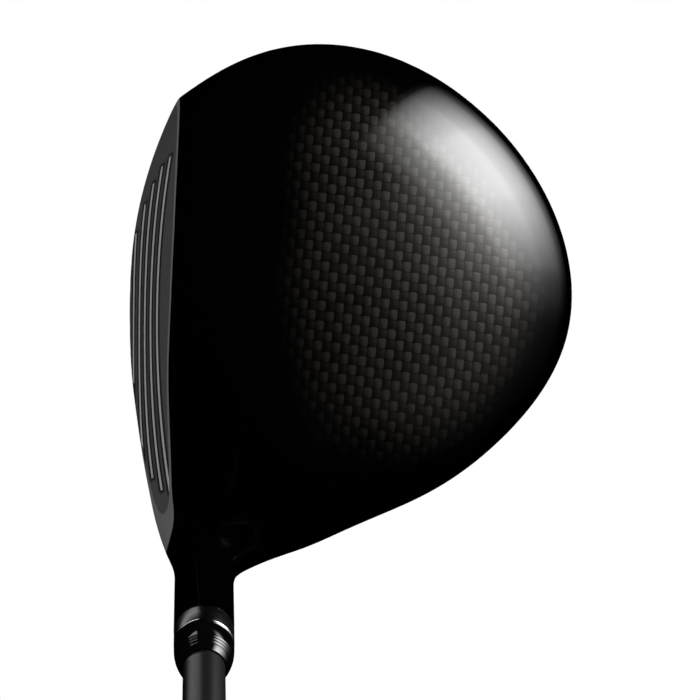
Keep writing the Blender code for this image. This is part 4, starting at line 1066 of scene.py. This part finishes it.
def studio():
    """A softbox behind the toe side for the reflections, even light for matte surfaces, and a white background."""
    world = bpy.data.worlds.new("studio")
    scene.world = world
    world.use_nodes = True
    world.node_tree.nodes.clear()
    n = Nodes(world.node_tree)
    x, y, z = n.add("ShaderNodeSeparateXYZ", {0: n.add("ShaderNodeTexCoord").outputs["Generated"]}).outputs
    azimuth = n.math("DEGREES", n.math("ARCTAN2", y, x))
    height = n.math("DEGREES", n.math("ARCSINE", z))
    key = lobe(n, azimuth, height, KEY_AZIMUTH, KEY_HEIGHT, KEY_STRENGTH)
    wide = lobe(n, azimuth, height, WIDE_AZIMUTH, WIDE_HEIGHT, WIDE_STRENGTH)
    path = n.add("ShaderNodeLightPath").outputs
    level = n.between(path["Is Diffuse Ray"], n.math("ADD", key, wide), MATTE_LIGHT)
    level = n.between(path["Is Camera Ray"], level, 1.0)
    light = n.add("ShaderNodeBackground", {"Color": colour(1, 1, 1), "Strength": level})
    n.tree.links.new(light.outputs[0], n.add("ShaderNodeOutputWorld").inputs[0])


studio()


def softbox(name, azimuth, height, width, tall, power, receivers):
    """An area light that only the receivers see, at this azimuth and height from the ferrule, in degrees."""
    middle, distance = 92.0, 0.6
    centre = Vector((HEEL + AXIS * middle) * MM)
    a, e = radians(azimuth), radians(height)
    direction = Vector((cos(e) * cos(a), cos(e) * sin(a), sin(e)))
    light = bpy.data.lights.new(name, "AREA")
    light.shape, light.size, light.size_y, light.energy = "RECTANGLE", width, tall, power
    obj = bpy.data.objects.new(name, light)
    obj.location = centre + direction * distance
    obj.rotation_mode = "QUATERNION"
    obj.rotation_quaternion = direction.to_track_quat("Z", "Y")
    scene.collection.objects.link(obj)
    group = bpy.data.collections.new(name + "_receivers")
    for receiver in receivers:
        group.objects.link(bpy.data.objects[receiver])
    obj.light_linking.receiver_collection = group


# A black card by the neck's root, seen only in reflections, keeps the key light's glare out of the hollow there.
CARD_AT, CARD_ALONG = np.array([52.5, -9.6, 52.0]), np.array([0.781, 0.625, 0.0])
card = [CARD_AT + along * CARD_ALONG + (0, 0, up) for along, up in ((-11, -12), (34, -12), (34, 16), (-11, 16))]
flag = solid("flag", (card, [(0, 1, 2, 3)]), sharp=0)
dark = bpy.data.materials.new("flag")
dark.use_nodes = True
for socket, value in (("Base Color", colour(0, 0, 0)), ("Specular IOR Level", 0.0)):
    dark.node_tree.nodes["Principled BSDF"].inputs[socket].default_value = value
flag.data.materials.append(dark)
flag.visible_camera = flag.visible_diffuse = flag.visible_transmission = flag.visible_shadow = False

softbox("left_soft", 214, -37, 0.42, 0.16, 0.38, ("collar_band", "sleeve", "shaft_tube"))
softbox("nose_soft", 209, -12, 0.24, 0.14, 0.25, ("ferrule_nose",))
softbox("right_soft", 153, -36, 0.13, 0.16, 0.9, ("sleeve", "ferrule_nose", "shaft_tube"))
